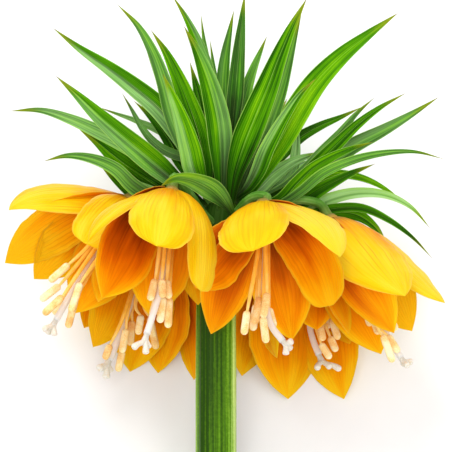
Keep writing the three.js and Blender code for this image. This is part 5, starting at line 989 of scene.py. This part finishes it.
def make_flowers():
    for f in FLOWERS:
        n = f["n"]
        base, axis, z0 = np.array(f["base"], float), unit(np.array(f["axis"], float)), f["ring"]
        # stalk
        b = Build()
        line = smooth(np.array(f["stalk"], float), 12)
        t0 = unit(line[0] - line[4])
        line = np.vstack([line[0] + t0 * 2.4, line[0] + t0 * 1.2, line, base - axis * 0.9])
        tube(b, line, lambda t: float(np.interp(t, [0, 0.08, 0.25, 0.85, 0.95, 1], [2.25, 1.95, 1.75, 1.72, 1.9, 2.1])), 26, 60, lobes=lambda a, t: 0.02 * np.sin(5 * a + 2 * t))
        b.obj(f"flower_{n}_stalk_skin", f"flower_{n}_stalk", [STALK])
        # petals and the cap they grow from
        b = Build()
        lathe(b, base, axis, [(-1.15, 1.8), (-1.0, 2.15), (-0.7, 2.45), (-0.2, 2.75), (0.4, 3.1), (0.9, 3.3), (1.4, 3.0), (1.7, 2.5)], 36, 2)
        for k, (tip, half, o) in enumerate(f["tepals"]):
            add_petal(b, 31 * n + 5 * k, base, axis, np.array(tip, float), half, o)
        b.obj(f"flower_{n}_petals_fine", f"flower_{n}_petals", [PETAL_OUT, PETAL_IN, BASE])
        # stamens
        b = Build()
        lathe(b, base, axis, [(z0, 2.2), (z0 + 0.1, 3.2), (z0 + 0.6, 3.3), (z0 + 0.95, 2.9), (z0 + 0.95, 2.3)], 30, 0)
        for k, (p0, p1, p2, p3) in enumerate(f["stamens"]):
            p0, p1, p2, p3 = (np.array(p, float) for p in (p0, p1, p2, p3))
            line = smooth(np.array([p0, p1, p2, p2 + (p3 - p2) * 0.10]), 14)
            tube(b, line, lambda t: float(np.interp(t, [0, 0.15, 0.75, 0.93, 1], [0.95, 0.82, 0.68, 0.42, 0.34])), 12, 30, lobes=lambda a, t: 0.14 * np.cos(2 * a))
            add_anther(b, p2 - (p3 - p2) * 0.06, p3 + (p3 - p2) * 0.04, 1.38, (0.35 + 0.12 * ((k * 7 + n) % 5), 0), 3 * n + k)
        b.obj(f"flower_{n}_stamens_fine", f"flower_{n}_stamens", [FILAMENT, ANTHER])
        # pistil: ovary, style and a stigma of three lobes
        b = Build()
        style = smooth(np.array([base + axis * (z0 + 4.2)] + [np.array(p, float) for p in f["style"][1:]]), 12)
        lathe(b, base, axis, [(z0 - 0.35, 0.8), (z0 - 0.1, 1.4), (z0 + 1.0, 1.72), (z0 + 2.4, 1.75), (z0 + 3.8, 1.45), (z0 + 5.2, 0.9)], 24, 0)
        fat = 1.2 if n == 5 else 1.0
        tube(b, style, lambda t: fat * float(np.interp(t, [0, 0.1, 0.6, 1], [0.78, 0.9, 1.12, 1.25])), 16, 44, lobes=lambda a, t: 0.06 * np.cos(3 * a))
        end = style[-1]
        t_end = unit(style[-1] - style[-6])
        for q, p in enumerate(f["stigma"]):
            p = np.array(p, float)
            d = p - end
            a0 = end - t_end * 1.2
            a1 = end + t_end * 0.25 * np.linalg.norm(d) + d * 0.12
            line = smooth(np.array([a0, a1, end + d * 0.62 + t_end * 0.6, p]), 14)
            tube(b, line, lambda t: fat * float(np.interp(t, [0, 0.25, 0.7, 0.84, 0.92, 0.97, 1.0], [0.8, 0.95, 1.0, 1.22, 1.28, 0.98, 0.35])), 16, 30, (0.5, 0), 1)
        b.obj(f"flower_{n}_pistil_fine", f"flower_{n}_pistil", [PISTIL, STIGMA])


make_stem()
make_leaves()
make_flowers()


# ------------------------------------------------------------------ floor, light, camera
def make_stage():
    m = Mat("floor")
    n = m.noise(m.co, 40.0, 3.0)
    m.finish(m.mix(m.range(n, 0.3, 0.7), (0.86, 0.86, 0.86, 1), (0.88, 0.88, 0.88, 1)), 0.9, 0.1)
    me = bpy.data.meshes.new("floor")
    s = 6.0
    me.from_pydata([(-s, -s, 0), (s, -s, 0), (s, s, 0), (-s, s, 0)], [], [(0, 1, 2, 3)])
    for layer in ("UVMap", "Look"):
        me.uv_layers.new(name=layer)
    me.materials.append(m.m)
    o = bpy.data.objects.new("floor", me)
    bpy.context.scene.collection.objects.link(o)


def area(name, at, target, size, power, color=(1, 1, 1)):
    l = bpy.data.lights.new(name, "AREA")
    l.shape = "DISK"
    l.size = size
    l.energy = power
    l.color = color
    o = bpy.data.objects.new(name, l)
    o.location = at
    d = np.array(target) - np.array(at)
    from mathutils import Vector
    o.rotation_euler = Vector(d).to_track_quat("-Z", "Y").to_euler()
    bpy.context.scene.collection.objects.link(o)


def make_light():
    w = bpy.data.worlds.new("studio")
    bpy.context.scene.world = w
    w.use_nodes = True
    w.node_tree.nodes["Background"].inputs[0].default_value = (1.0, 1.0, 1.0, 1)
    w.node_tree.nodes["Background"].inputs[1].default_value = WORLD
    mid = (0, 0.02, 0.03)
    area("key", (-0.35, 0.95, 1.25), mid, 0.7, KEY)
    area("fill", (0.9, -0.5, 1.2), mid, 1.2, FILL)
    area("front", (-0.2, -0.7, 1.9), mid, 1.2, FRONT)
    bpy.context.scene.view_settings.view_transform = "Standard"
    bpy.context.scene.view_settings.look = "None"


WORLD, KEY, FILL, FRONT = 0.85, 12.0, 4.0, 12.0


def make_camera():
    c = bpy.data.cameras.new("camera")
    c.sensor_width = 36.0
    c.lens = 36.0 * 0.950 / 0.17176
    o = bpy.data.objects.new("camera", c)
    q = np.array([0.0, 0.0, 950.0])
    cs, sn = math.cos(LIE), math.sin(LIE)
    at = (np.array([q[0], q[1] * cs - q[2] * sn, q[1] * sn + q[2] * cs]) + SHIFT) / 1000.0
    o.location = at
    o.rotation_euler = (LIE, 0, 0)
    bpy.context.scene.collection.objects.link(o)
    bpy.context.scene.camera = o


make_stage()
make_light()
make_camera()
